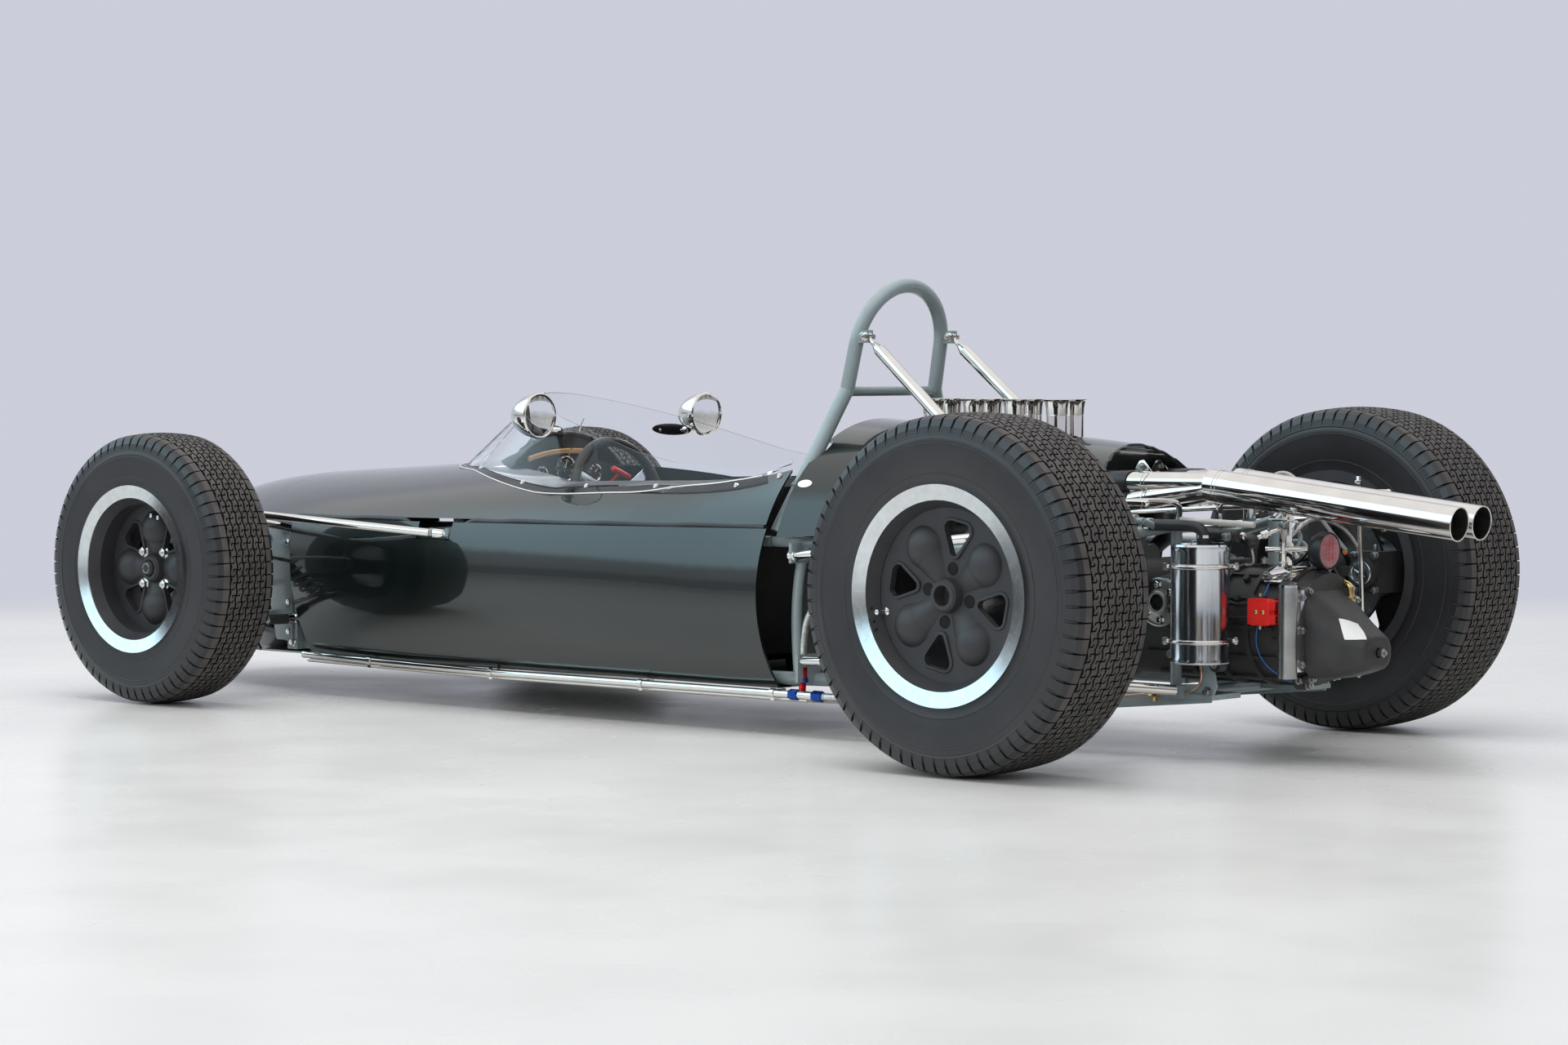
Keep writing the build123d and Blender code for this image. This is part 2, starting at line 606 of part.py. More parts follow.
def upper_rails():
    """The top chassis tube on each side, with the bracket of the long front link."""
    rail = frame_tube(UPPER_RAIL, TUBE_R)
    x, y, z = LONG_LINK_END
    rail += mid_box((x - 14, y - 38, z - 7), (x - 3.1, y + 14, z + 15))
    save("upper_rails", *both_sides(rail))


def front_frame():
    """Front bulkhead: side plates, cross tubes, pivots, rack stands and the radiator's bars."""
    bx = BULKHEAD_X
    frame = rod((bx + 16, 262, 366), (bx + 16, -262, 366), TUBE_R)
    frame += rod((bx + 16, 262, 114), (bx + 16, -262, 114), TUBE_R)
    left = mid_box((bx + SEAT_GAP, 262, 100), (bx + 34, 292, 386))
    left += mid_box((bx + 29, 266, 157), (bx + 109, 286, 187))
    left += mid_box((bx + SEAT_GAP, 290, 160), (bx + 12, 316, 184))
    left += mid_box((bx + 84, 284, 160), (bx + 94, 316, 184))
    left += pivot_pin((bx - 14, 304, 172), bx + 10) + pivot_pin((bx + 108, 304, 172), bx + 88)
    x, y, z = FRONT_DAMPER_HEAD
    left += rod((bx + 24, 284, 376), (x - 20, y, z), 8) + pivot_pin(FRONT_DAMPER_HEAD, x - 24)
    left += rod((bx + 16, 272, 366), (RADIATOR_X - 3.5, 176, 366), 9)
    left += rod((bx + 16, 272, 114), (RADIATOR_X - 3.5, 176, 140), 9)
    rack_low = STEER_ARM_Z - 14 - 22 - SEAT_GAP
    left += mid_box((bx + 10, 102, 104), (bx + 120, 118, 128))
    left += mid_box((bx + 102, 102, 104), (bx + 120, 118, rack_low))
    for piece in both_sides(left):
        frame += piece
    save("front_frame", frame)


def rear_frame():
    """Tubes round the engine and the rear bulkhead, with the ears of links, dampers and tank."""
    left = frame_tube([(797, 290, 392), (130, 284, 392), (-112, 160, 446)], TUBE_R)
    left += frame_tube([(-112, 160, 446), (-112, 160, 126), (116, 190, 126)], TUBE_R)
    left += rod((130, 284, 392), (108, 188, 126), TUBE_R)
    left += mid_box((-222, 104, 121), (-112, 196, 131))
    left += mid_box((113, 176, 112), (123, 212, 140))
    left += mid_box((557, 290, 392), (563, 303, 417.6))
    x, y, z = REAR_DAMPER_HEAD
    left += rod((x - 20, 176, 440), (x - 20, y, z), 7) + pivot_pin(REAR_DAMPER_HEAD, x - 24)
    left += mid_box((-30, 197, 425), (-10, 217, 446))
    left += mid_box((714.8, 279, 352), (722, 334, 392))
    left += mid_box((68, 184, 118), (84, 210.6, 146))
    left += mid_box((-158, 186, 121), (-142, 208.4, 146))
    left += Pos(797, 290, 392) * Sphere(TUBE_R)
    pieces = rod((797, 290, 392), (797, -290, 392), TUBE_R)
    pieces += rod((-112, 160, 126), (-112, -160, 126), TUBE_R)
    for piece in both_sides(left):
        pieces += piece
    x, y = TANK_AT
    room = rod((x, y, 180), (x, y, 420), TANK_R + 2 + SEAT_GAP)
    for z in TANK_RING_Z:
        pieces += rod((-112, 160, z), (x, y, z), 7) - room
    save("rear_frame", pieces)


def side_pipes():
    """The coolant and oil pipes along the bottom edge of the body, held by clips below the floor."""
    pipes = frame_tube(LOW_PIPE, PIPE_R) + frame_tube(HIGH_PIPE, PIPE_R - 2)
    for x, *_, floor_z, _ in BODY_SECTIONS:
        if x not in CLIP_STATIONS:
            continue
        low_y, low_z = height_along(LOW_PIPE, x)
        high_y, high_z = height_along(HIGH_PIPE, x)
        clip_top = min(low_z + 4, floor_z - 1)
        pipes += mid_box((x - 5, high_y - 4, high_z - 4), (x + 5, low_y + 4, clip_top))
        pipes += mid_box((x - 5, high_y - 16, high_z - 4), (x + 5, high_y - 3, floor_z - 2 * SEAT_GAP))
    save("side_pipes", *both_sides(pipes))


def firewall():
    """The sheet between seat and engine."""
    save("firewall", mid_box((752, -276, RAIL_Z + RAIL_R + 1), (756, 276, 384))
         + mid_box((752, -250, 380), (756, 250, 470)))


def radiator():
    """The coolant radiator behind the nose opening."""
    save("radiator", mid_box((RADIATOR_X, -190, 130), (RADIATOR_X + 40, 190, 400)))


# Engine, intakes, exhausts and gearbox


def cover_form(shrink):
    """The engine cover as a solid down to its lower edges, shrunk by the skin when asked."""
    faces = []
    for x, edge_y, edge_z, crown_z in COVER_SECTIONS:
        y, low, top = edge_y - shrink, edge_z - shrink / 2, crown_z - shrink
        plane = Plane(origin=(x, 0, 0), x_dir=(0, 1, 0), z_dir=(1, 0, 0))
        arch = ThreePointArc((y, low), (0, top), (-y, low))
        faces.append(plane * make_face([arch, Line((-y, low), (y, low))]))
    return loft(faces)


def hoop_clearance():
    """Room round the hoop legs, the cross bar ends and the stays where they pass the bodywork."""
    room = None
    for side in (1, -1):
        foot = hoop_point(side * HOOP_FOOT[0], HOOP_FOOT[1])
        knee = hoop_point(side * HOOP_KNEE[0], HOOP_KNEE[1])
        leg = rod(foot, knee, HOOP_HOLE_R)
        x, y, z = hoop_point(side * 134, STAY_TOP_Z)
        stay = rod((x, y, z), (STAY_FOOT[0], side * STAY_FOOT[1], STAY_FOOT[2]), STAY_R + 7)
        room = leg + stay if room is None else room + leg + stay
    return room


def engine_cover():
    """The cover from the cowl back over the engine, open round the intakes."""
    start_x, end_x, half_w = TRUMPET_SLOT
    cover = cover_form(0) - Pos(0, 0, 0) * cover_form(SKIN)
    slot = Pos((start_x + end_x) / 2, 0, 560) * RectangleRounded(end_x - start_x, 2 * half_w, 40)
    cover -= extrude(slot, 200)
    x, z, r = TAIL_BULGE
    bulge = (Pos(x, 0, z) * Sphere(r) - Pos(x, 0, z) * Sphere(r - SKIN) - cover_form(-0.01))
    bulge = bulge & mid_box((0, -200, z), (start_x, 200, 700))
    cover += bulge
    low, high = TAIL_RAKE
    tail = make_face(Polyline((0, 400), (low[0] - 30, 400), low, high, (high[0], 760), (0, 760), close=True))
    cover -= extrude(Plane.XZ * tail, 300, both=True)
    cover -= hoop_clearance()
    save("engine_cover", max(cover.solids(), key=lambda s: s.volume))


def engine():
    """Crankcase, two cylinder heads and two cam covers."""
    length = ENGINE_FRONT_X - ENGINE_REAR_X
    block = mid_box((ENGINE_REAR_X, -100, 118), (ENGINE_FRONT_X, 100, 320))
    for s in (1, -1):
        head = Pos((ENGINE_REAR_X + ENGINE_FRONT_X) / 2, s * HEAD_Y, HEAD_Z) * Rot(s * -45, 0, 0)
        block += head * Box(length - 20, HEAD_W, HEAD_H)
        for offset in (-32, 32):
            block += head * Pos(0, offset, HEAD_H / 2 - 3) * Rot(0, 90, 0) * Cylinder(26, length - 30)
    block += mid_box((ENGINE_REAR_X + 60, -58, 320), (ENGINE_FRONT_X - 60, 58, 440))
    save("engine_block", block)


def bore_places():
    """Where the intakes stand: x and y of each, left bank first."""
    places = []
    for bank, shift in ((1, 0), (-1, BANK_OFFSET_X)):
        for k in range(4):
            places.append((LAST_BORE_X + shift + k * BORE_PITCH, bank * TRUMPET_Y))
    return places


def trumpets():
    """Eight flared intakes on one throttle body."""
    profile = [Line((0, 0), (TRUMPET_R, 0)), Line((TRUMPET_R, 0), (TRUMPET_R + 1, 150)),
               ThreePointArc((TRUMPET_R + 1, 150), (TRUMPET_R + 2, 172), (TRUMPET_LIP_R, 181)),
               Line((TRUMPET_LIP_R, 181), (TRUMPET_LIP_R - 2, 181)),
               ThreePointArc((TRUMPET_LIP_R - 2, 181), (TRUMPET_R - 1, 171), (TRUMPET_R - 2, 150)),
               Line((TRUMPET_R - 2, 150), (TRUMPET_R - 2, 12)),
               Line((TRUMPET_R - 2, 12), (0, 12)), Line((0, 12), (0, 0))]
    horn = revolve(Plane.XZ * make_face(profile), axis=Axis.Z)
    body = mid_box((LAST_BORE_X - 34, -70, 440 + SEAT_GAP),
                   (LAST_BORE_X + 3 * BORE_PITCH + 56, 70, TRUMPET_FOOT_Z + 1))
    for x, y in bore_places():
        body += Pos(x, y, TRUMPET_FOOT_Z) * horn
    save("intake_trumpets", body)


def exhaust():
    """Four primaries into one tail pipe on the left; the right one is its mirror image."""
    tail_top = Vector(MERGE_X, 44, 519)
    tail_end = Vector(PIPE_END_X, 38, 459)
    pipe = rod(tuple(tail_top), tuple(tail_end), TAILPIPE_R)
    mid_y = sum(y for y, z in BUNDLE) / 4
    mid_z = sum(z for y, z in BUNDLE) / 4
    for y, z in BUNDLE:
        end = (MERGE_X - 2, tail_top.Y + (y - mid_y) * BUNDLE_CLOSE, tail_top.Z + (z - mid_z) * BUNDLE_CLOSE)
        pipe += rod((BUNDLE_X, y, z), end, PRIMARY_R + 3)
    direction = (tail_end - tail_top).normalized()
    start = tail_top + direction * 60
    pipe -= rod(tuple(start), tuple(tail_end + direction * 5), TAILPIPE_R - TAILPIPE_WALL)
    face = HEAD_W / 2 + SEAT_GAP
    port_y, port_z = HEAD_Y + (face + 24) * cos(radians(45)), HEAD_Z + (24 - face) * cos(radians(45))
    for k, ((y, z), (lane_y, lane_z)) in enumerate(zip(BUNDLE, LANES)):
        port_x = LAST_BORE_X + k * BORE_PITCH
        side_y = 246
        path = [(port_x, port_y, port_z), (port_x, side_y, port_z - (side_y - port_y)),
                (port_x - 30, side_y - 2, 380), (port_x - 74, lane_y, lane_z), (LANE_END_X, lane_y, lane_z),
                (BUNDLE_X + 50, y, z), (BUNDLE_X - 6, y, z)]
        if port_x - 74 < LANE_END_X + 40:
            path.pop(4)
        pipe += bent_tube(path, PRIMARY_R, 20)
    left, right = both_sides(pipe)
    save("exhaust_left", left)
    save("exhaust_right", right)


def gearbox():
    """Bell housing, ribbed gear case with output bosses, and the end cover."""
    bell = rod((ENGINE_REAR_X - SEAT_GAP, 0, CASE_Z), (70, 0, CASE_Z), 138, CASE_R)
    case = rod((70, 0, CASE_Z), (CASE_REAR_X, 0, CASE_Z), CASE_R)
    case += rod((CASE_REAR_X, 0, CASE_Z), (CASE_REAR_X - 22, 0, CASE_Z), CASE_R + 4)
    case += rod((0, OUTPUT_FACE_Y, AXLE_Z_REAR), (0, -OUTPUT_FACE_Y, AXLE_Z_REAR), 46)
    for x in (-90, -165, -240):
        case += rod((x - 5, 0, CASE_Z), (x + 5, 0, CASE_Z), CASE_R + 7)
    for angle in range(0, 360, 30):
        rib = Pos(-150, 0, CASE_Z) * Rot(angle, 0, 0) * Pos(0, 0, CASE_R) * Box(300, 6, 12)
        case += rib
    for angle in range(15, 375, 60):
        boss = Pos(CASE_REAR_X - 11, 0, CASE_Z) * Rot(angle, 0, 0) * Pos(0, 0, CASE_R) * Rot(0, 90, 0)
        case += boss * Cylinder(15, 22)
    case += mid_box((CASE_REAR_X - 18, 90, 272), (CASE_REAR_X + 18, 124 - SEAT_GAP, 302))
    save("gearbox_case", bell + case)
    cover = rod((CASE_REAR_X - 22 - SEAT_GAP, 0, CASE_Z), (COVER_SEAT_X, 0, CASE_Z), CASE_R, CASE_R - 6)
    faces = []
    for back, width, height, z, corner in COVER_SHAPE:
        plane = Plane(origin=(COVER_SEAT_X - back, 0, z), x_dir=(0, -1, 0), z_dir=(-1, 0, 0))
        faces.append(plane * RectangleRounded(width, height, corner))
    nose = loft(faces)
    tip_x = COVER_SEAT_X - COVER_SHAPE[-1][0]
    nose = fillet(nose.edges().filter_by(lambda e: e.center().X < tip_x + 1), 12)
    save("gearbox_cover", cover + nose)


def small_rear_parts():
    """Catch tank, breather, tail lamp on its bracket, and battery connector."""
    x, y = TANK_AT
    tank = rod((x, y, 190), (x, y, 414), TANK_R)
    for z in TANK_RING_Z:
        tank += rod((x, y, z - 7), (x, y, z + 7), TANK_R + 2)
    save("catch_tank", tank)
    tube = rod((-352, 138, 166), (-352, 138, 340), 18)
    tube += mid_box((COVER_SEAT_X - 4 - SEAT_GAP, 92, 215), (COVER_SEAT_X - SEAT_GAP, 130, 295))
    save("breather_tube", tube)
    bracket = mid_box((-256, -14, CASE_Z + CASE_R + 6.3), (-252, 14, 470))
    bracket += mid_box((-256, -40, 392), (-252, 40, 400))
    bracket += mid_box((-330, -8, 392), (-252, 8, 400))
    lamp = rod((-330, 0, LAMP_Z), (-352, 0, LAMP_Z), LAMP_R)
    save("tail_lamp", bracket + lamp)
    save("battery_connector", mid_box((-325, 124, 262), (-275, 140, 312)))


# Suspension


def rear_uprights():
    """Rear hub carriers with their brake calipers."""
    disc_y = TRACK_REAR / 2 + REAR_DISC_Y
    y_out = disc_y - 16
    y_in = y_out - 42
    carrier = rod((0, y_in, AXLE_Z_REAR), (0, y_out, AXLE_Z_REAR), 52)
    carrier += mid_box((-20, UPRIGHT_Y - 13, 176), (20, UPRIGHT_Y + 13, 464))
    carrier += pivot_pin(REAR_DAMPER_FOOT, -18)
    carrier -= rod((0, y_in - 5, AXLE_Z_REAR), (0, y_out + 5, AXLE_Z_REAR), SPINDLE_R + RUNNING_GAP)
    caliper = mid_box((-150, disc_y - 48, 290), (-84, disc_y + 36, 374))
    caliper -= Pos(0, disc_y, AXLE_Z_REAR) * Rot(90, 0, 0) * Cylinder(REAR_DISC_R + 5, DISC_T + 8)
    caliper += rod((-118, disc_y - 66, 331), (-118, disc_y - 40, 331), 30)
    caliper += mid_box((-100, y_in + 12, 322), (-30, y_in + 30, 342))
    save("rear_uprights", *both_sides(carrier + caliper))


def rear_links():
    """Rear radius rods, upper links and lower wishbones."""
    upper = rod((23, UPRIGHT_Y - 4, 436), (712, 322, 367), 10)
    lower = rod((23, UPRIGHT_Y - 4, 196), (700, 316, 155), 10)
    outer_z, inner_z = 464 + SEAT_GAP + 10, 446 + SEAT_GAP + 10
    top_link = rod((0, UPRIGHT_Y, outer_z), (-20, 207, inner_z), 8)
    top_link += Pos(0, UPRIGHT_Y, outer_z) * Cylinder(13, 20) + Pos(-20, 207, inner_z) * Cylinder(12, 20)
    wish = frame_tube([(76, 214, 138), (0, UPRIGHT_Y - 12, 165), (-150, 214, 138)], 10)
    pieces = []
    for piece in (upper, lower, top_link, wish):
        pieces += both_sides(piece)
    save("rear_links", *pieces)


def damper(bottom, top):
    """A damper with its spring drawn as a grooved sleeve between two seats."""
    bottom, top = Vector(*bottom), Vector(*top)
    length = (top - bottom).length
    edges = [(0, 8), (9, 8), (9, 34), (30, 36), (30, 42)]
    z, coils = 42.0, 7
    pitch = (length - 88) / coils
    for _ in range(coils):
        edges += [(22, z + pitch * 0.35), (29, z + pitch)]
        z += pitch
    edges += [(31, z + 4), (31, z + 10), (9, z + 12), (9, length - 8), (0, length - 8)]
    sleeve = revolve(Plane.XZ * make_face(Polyline(*edges, close=True)), axis=Axis.Z)
    body = Plane(origin=bottom, z_dir=top - bottom).location * sleeve
    body = body + eye(bottom) + eye(top)
    return body - eye_bore(bottom) - eye_bore(top)


def dampers():
    """Coil spring dampers at all four corners."""
    save("rear_dampers", *both_sides(damper(REAR_DAMPER_FOOT, REAR_DAMPER_HEAD)))
    save("front_dampers", *both_sides(damper(FRONT_DAMPER_FOOT, FRONT_DAMPER_HEAD)))


def front_arms():
    """Front wishbones: a short upper link, a long trailing rod and a lower wishbone on each side."""
    joint_top, joint_low = (WHEELBASE, KINGPIN_Y, 428), (WHEELBASE, KINGPIN_Y, 172)
    inner_top = (BULKHEAD_X + 8, 294.9, 375)
    top_link = rod(joint_top, inner_top, 9)
    long_rod = rod((WHEELBASE - 10, KINGPIN_Y - 4, 428), LONG_LINK_END, 9)
    rear_eye, front_eye = (BULKHEAD_X - 14, 304, 172), (BULKHEAD_X + 108, 304, 172)
    lower = frame_tube([rear_eye, joint_low, front_eye], 9) + eye(rear_eye) + eye(front_eye)
    lower = lower - eye_bore(rear_eye) - eye_bore(front_eye)
    x, y, z = FRONT_DAMPER_FOOT
    lower += rod((x - 26, y, z), (x + 26, y, z), PIVOT_R)
    ball = Pos(*joint_top) * Sphere(13)
    long_rod = long_rod - Pos(*joint_top) * Sphere(13 + SEAT_GAP) - rod(joint_top, inner_top, 9 + SEAT_GAP)
    save("front_arms", *both_sides(top_link + ball), *both_sides(long_rod), *both_sides(lower))


def knuckles():
    """Front hub carriers with caliper and steering arm."""
    y = KINGPIN_Y
    disc_y = TRACK_FRONT / 2 + FRONT_DISC_Y
    low, high = 172 + 9 + RUNNING_GAP, 428 - 13 - RUNNING_GAP
    carrier = rod((WHEELBASE, y, low), (WHEELBASE, y, high), 13)
    carrier += rod((WHEELBASE, y - 6, AXLE_Z_FRONT), (WHEELBASE, disc_y - 16, AXLE_Z_FRONT), 44)
    carrier += mid_box((WHEELBASE, STEER_ARM_Y - 12, STEER_ARM_Z),
                       (WHEELBASE + STEER_ARM + 14, STEER_ARM_Y + 12, STEER_ARM_Z + 14))
    carrier += mid_box((WHEELBASE - 16, STEER_ARM_Y - 12, STEER_ARM_Z - 14),
                       (WHEELBASE + 16, y + 6, STEER_ARM_Z + 24))
    caliper = mid_box((WHEELBASE - 134, disc_y - 40, 262), (WHEELBASE - 80, disc_y + 28, 338))
    caliper -= Pos(WHEELBASE, disc_y, AXLE_Z_FRONT) * Rot(90, 0, 0) * Cylinder(FRONT_DISC_R + 5, DISC_T + 8)
    caliper += mid_box((WHEELBASE - 100, disc_y - 38, 290), (WHEELBASE - 30, disc_y - 22, 310))
    carrier += caliper
    bore_r = SPINDLE_R + RUNNING_GAP
    carrier -= rod((WHEELBASE, y - 30, AXLE_Z_FRONT), (WHEELBASE, y + 90, AXLE_Z_FRONT), bore_r)
    left, right = both_sides(carrier)
    save("knuckle_left", left)
    save("knuckle_right", right)


def steering():
    """Rack bar with tie rods, column and steering wheel."""
    arm_x = WHEELBASE + STEER_ARM
    rack = rod((arm_x, 240, STEER_ARM_Z - 14), (arm_x, -240, STEER_ARM_Z - 14), 11)
    for s in (1, -1):
        rack += rod((arm_x, s * 238, STEER_ARM_Z - 14), (arm_x, s * STEER_ARM_Y, STEER_ARM_Z - 14), 8)
        rack += Pos(arm_x, s * STEER_ARM_Y, STEER_ARM_Z - 9 - SEAT_GAP) * Cylinder(13, 18)
    save("tie_rods", rack)
    housing = rod((arm_x, 150, STEER_ARM_Z - 14), (arm_x, -150, STEER_ARM_Z - 14), 22)
    housing -= rod((arm_x, 160, STEER_ARM_Z - 14), (arm_x, -160, STEER_ARM_Z - 14), 11 + RUNNING_GAP)
    save("rack_housing", housing)
    x, y, z = WHEEL_CENTRE
    turn = Pos(x, y, z) * Rot(0, 90 + COLUMN_TILT, 0)
    grip = turn * Torus(WHEEL_GRIP_R - GRIP_R, GRIP_R)
    hub = turn * Pos(0, 0, 6) * Cylinder(24, 20)
    wheel = grip + hub
    spoke = WHEEL_GRIP_R - GRIP_R
    for angle in (0, 120, 240):
        wheel += turn * Rot(0, 0, angle) * Pos(spoke / 2, 0, 0) * Box(spoke, 22, 4)
    wheel += turn * Pos(0, 0, 40) * Cylinder(11, 60)
    save("steering_wheel", wheel)
    column = turn * Pos(0, 0, (70.3 + COLUMN_END) / 2) * Cylinder(11, COLUMN_END - 70.3)
    save("steering_column", column)


def build():
    """Builds every node of the car."""
    wheels()
    body_panels()
    clear_of = body_form(SEAT_GAP)
    windscreen(clear_of)
    dashboard(clear_of)
    seat()
    mirrors()
    roll_hoop()
    hoop_stays()
    lower_rails()
    upper_rails()
    front_frame()
    rear_frame()
    side_pipes()
    firewall()
    radiator()
    engine()
    engine_cover()
    trumpets()
    exhaust()
    gearbox()
    small_rear_parts()
    rear_uprights()
    rear_links()
    dampers()
    front_arms()
    knuckles()
    steering()


build()
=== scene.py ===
import logging
import math
from contextlib import contextmanager
from dataclasses import dataclass, field
from enum import Enum
from typing import Callable, Iterable, Iterator, Optional, Sequence

import bpy
from mathutils import Matrix, Vector


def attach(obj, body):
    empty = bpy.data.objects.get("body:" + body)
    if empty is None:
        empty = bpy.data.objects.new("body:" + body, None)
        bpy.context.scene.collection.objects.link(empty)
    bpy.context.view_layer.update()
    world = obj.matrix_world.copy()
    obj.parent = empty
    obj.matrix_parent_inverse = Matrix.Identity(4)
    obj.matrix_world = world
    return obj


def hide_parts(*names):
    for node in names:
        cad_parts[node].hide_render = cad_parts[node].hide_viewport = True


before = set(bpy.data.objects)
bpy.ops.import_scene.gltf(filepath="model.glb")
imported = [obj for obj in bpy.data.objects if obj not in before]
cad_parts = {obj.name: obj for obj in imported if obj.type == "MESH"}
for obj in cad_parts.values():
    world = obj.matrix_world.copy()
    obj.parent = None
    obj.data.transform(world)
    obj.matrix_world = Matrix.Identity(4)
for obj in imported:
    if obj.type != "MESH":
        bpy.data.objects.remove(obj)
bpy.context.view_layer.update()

logging.basicConfig(level=logging.INFO, format="%(message)s")
log = logging.getLogger("racing_car")

Point = Sequence[float]
Pair = tuple[float, float]
Place = tuple[float, float, float]
Colour = Place
Stops = Sequence[tuple[float, Colour]]
Seats = Sequence[tuple[Point, Vector]]
Thing = bpy.types.Object
Socket = bpy.types.NodeSocket
Groups = dict["Finish", list[Thing]]
Spot = Optional[tuple[Vector, Vector]]
Level = tuple[float, Pair, Pair, Pair, Pair]
Faces = list[list[int]]

MID_LENGTH_X = 1120
CHASSIS = "chassis"
TURN = 2 * math.pi
FRONT_AXLE_X = 2311
NODE_SHARP = 28
UP = Vector((0, 0, 1))
LEFTWARD = Vector((0, 1, 0))
FORWARD = Vector((1, 0, 0))


class Side(Enum):
    """A side of the car as the driver sits."""

    LEFT = 1
    RIGHT = -1

    @property
    def word(self) -> str:
        """The side's name as the nodes spell it."""
        return self.name.lower()

    @property
    def out(self) -> Vector:
        """The direction away from the car's middle on this side."""
        return LEFTWARD * self.value

    def flip(self, point: Point) -> Place:
        """A point given for the left side, moved to this side."""
        return point[0], point[1] * self.value, point[2]


def at(x: float, y: float, z: float) -> Vector:
    """A point in millimetres from the rear axle's middle on the floor, as metres of the model."""
    return Vector(((x - MID_LENGTH_X) / 1000, y / 1000, z / 1000))


def from_frame(point: Vector) -> Place:
    """A point of the model, in metres, back in the drawing's millimetres."""
    return point.x * 1000 + MID_LENGTH_X, point.y * 1000, point.z * 1000


def upright_on(direction: Vector) -> Matrix:
    """The turn that lays +Z along a direction."""
    return direction.to_track_quat("Z", "Y").to_matrix().to_4x4()


# Finishes


class Graph:
    """Adds shader nodes to a tree and links them."""

    def __init__(self, tree: bpy.types.NodeTree, coords: str = "Object") -> None:
        """Empties a tree of a material or of the world, and takes the coordinates that patterns follow."""
        self.tree = tree
        tree.nodes.clear()
        self.coords = self.node("TexCoord", {}).outputs[coords]

    def feed(self, node: bpy.types.Node, inputs: dict[object, object]) -> bpy.types.Node:
        """Links sockets to a node's inputs or sets constants there.

        Args:
            node: The node.
            inputs: A socket, number or colour for each input.

        Returns:
            The node.
        """
        for key, value in inputs.items():
            slot = node.inputs[key]
            if isinstance(value, Socket):
                self.tree.links.new(value, slot)
            else:
                slot.default_value = (*value, 1) if slot.type == "RGBA" else value
        return node

    def node(self, kind: str, inputs: dict[object, object]) -> bpy.types.Node:
        """Adds a node of a kind, named without the word ShaderNode, and feeds its inputs."""
        return self.feed(self.tree.nodes.new(f"ShaderNode{kind}"), inputs)

    def noise(self, scale: float, detail: float = 3.0, stretch: Optional[Point] = None) -> Socket:
        """A noise pattern with so many features per metre and octaves, drawn out along each axis when asked."""
        inputs = {"Scale": scale, "Detail": detail, "Vector": self.stretched(stretch)}
        return self.node("TexNoise", inputs).outputs["Fac"]

    def cells(self, scale: float, stretch: Optional[Point] = None) -> Socket:
        """The distance of a cell pattern."""
        return self.node("TexVoronoi", {"Scale": scale, "Vector": self.stretched(stretch)}).outputs["Distance"]

    def stretched(self, stretch: Optional[Point]) -> Socket:
        """The coordinates, scaled along each axis when asked."""
        if stretch is None:
            return self.coords
        return self.node("Mapping", {"Scale": stretch, "Vector": self.coords}).outputs[0]

    def ramp(self, value: Socket, stops: Stops) -> Socket:
        """Colours a value by a ramp.

        Args:
            value: The value to look up.
            stops: Place and colour of each stop.

        Returns:
            The colour socket.
        """
        node = self.node("ValToRGB", {0: value})
        elements = node.color_ramp.elements
        while len(elements) < len(stops):
            elements.new(0.5)
        for element, (place, colour) in zip(elements, stops):
            element.position = place
            element.color = (*colour, 1)
        return node.outputs[0]

    def math(self, kind: str, a: object, b: object = 0) -> Socket:
        """The result of an operation on two numbers or sockets."""
        node = self.node("Math", {0: a, 1: b})
        node.operation = kind
        return node.outputs[0]

    def total(self, a: Socket, along: float, b: Socket, across: float) -> Socket:
        """The sum of two sockets, each times its number."""
        return self.math("ADD", self.math("MULTIPLY", a, along), self.math("MULTIPLY", b, across))

    def length(self, a: Socket, b: Socket) -> Socket:
        """The length of a vector with two components."""
        return self.math("SQRT", self.math("ADD", self.math("MULTIPLY", a, a), self.math("MULTIPLY", b, b)))

    def fade(self, value: Socket, start: float, full: float, kind: str = "LINEAR") -> Socket:
        """Goes from 0 to 1 as a value goes from start to full."""
        node = self.node("MapRange", {"Value": value, "From Min": start, "From Max": full})
        node.interpolation_type = kind
        return node.outputs[0]

    def split(self) -> Sequence[Socket]:
        """The X, Y and Z sockets of the coordinates."""
        return tuple(self.node("SeparateXYZ", {0: self.coords}).outputs)

    def mix(self, factor: Socket, a: object, b: object) -> Socket:
        """Two colours mixed by a factor."""
        node = self.tree.nodes.new("ShaderNodeMix")
        node.data_type = "RGBA"
        return self.feed(node, {"Factor": factor, 6: a, 7: b}).outputs[2]

    def direct(self) -> tuple[Socket, Socket]:
        """Whether a ray comes straight or through glass from the camera, and whether it is a glossy one."""
        path = self.node("LightPath", {}).outputs
        return self.math("MAXIMUM", path["Is Camera Ray"], path["Is Transmission Ray"]), path["Is Glossy Ray"]


class Nodes(Graph):
    """The nodes of a material with a principled shader."""

    def __init__(self, name: str) -> None:
        """Starts the material under this name."""
        self.material = bpy.data.materials.new(name)
        self.material.use_nodes = True
        super().__init__(self.material.node_tree)
        self.shader = self.node("BsdfPrincipled", {})
        self.out = self.node("OutputMaterial", {0: self.shader.outputs[0]})

    def shade(self, inputs: dict[str, object]) -> None:
        """Feeds the shader's inputs."""
        self.feed(self.shader, inputs)

    def bump(self, height: Socket, strength: float, distance: float) -> None:
        """Adds a bump to the shader from a height, with its strength and its depth in metres."""
        node = self.node("Bump", {"Strength": strength, "Distance": distance, "Height": height})
        self.shade({"Normal": node.outputs[0]})


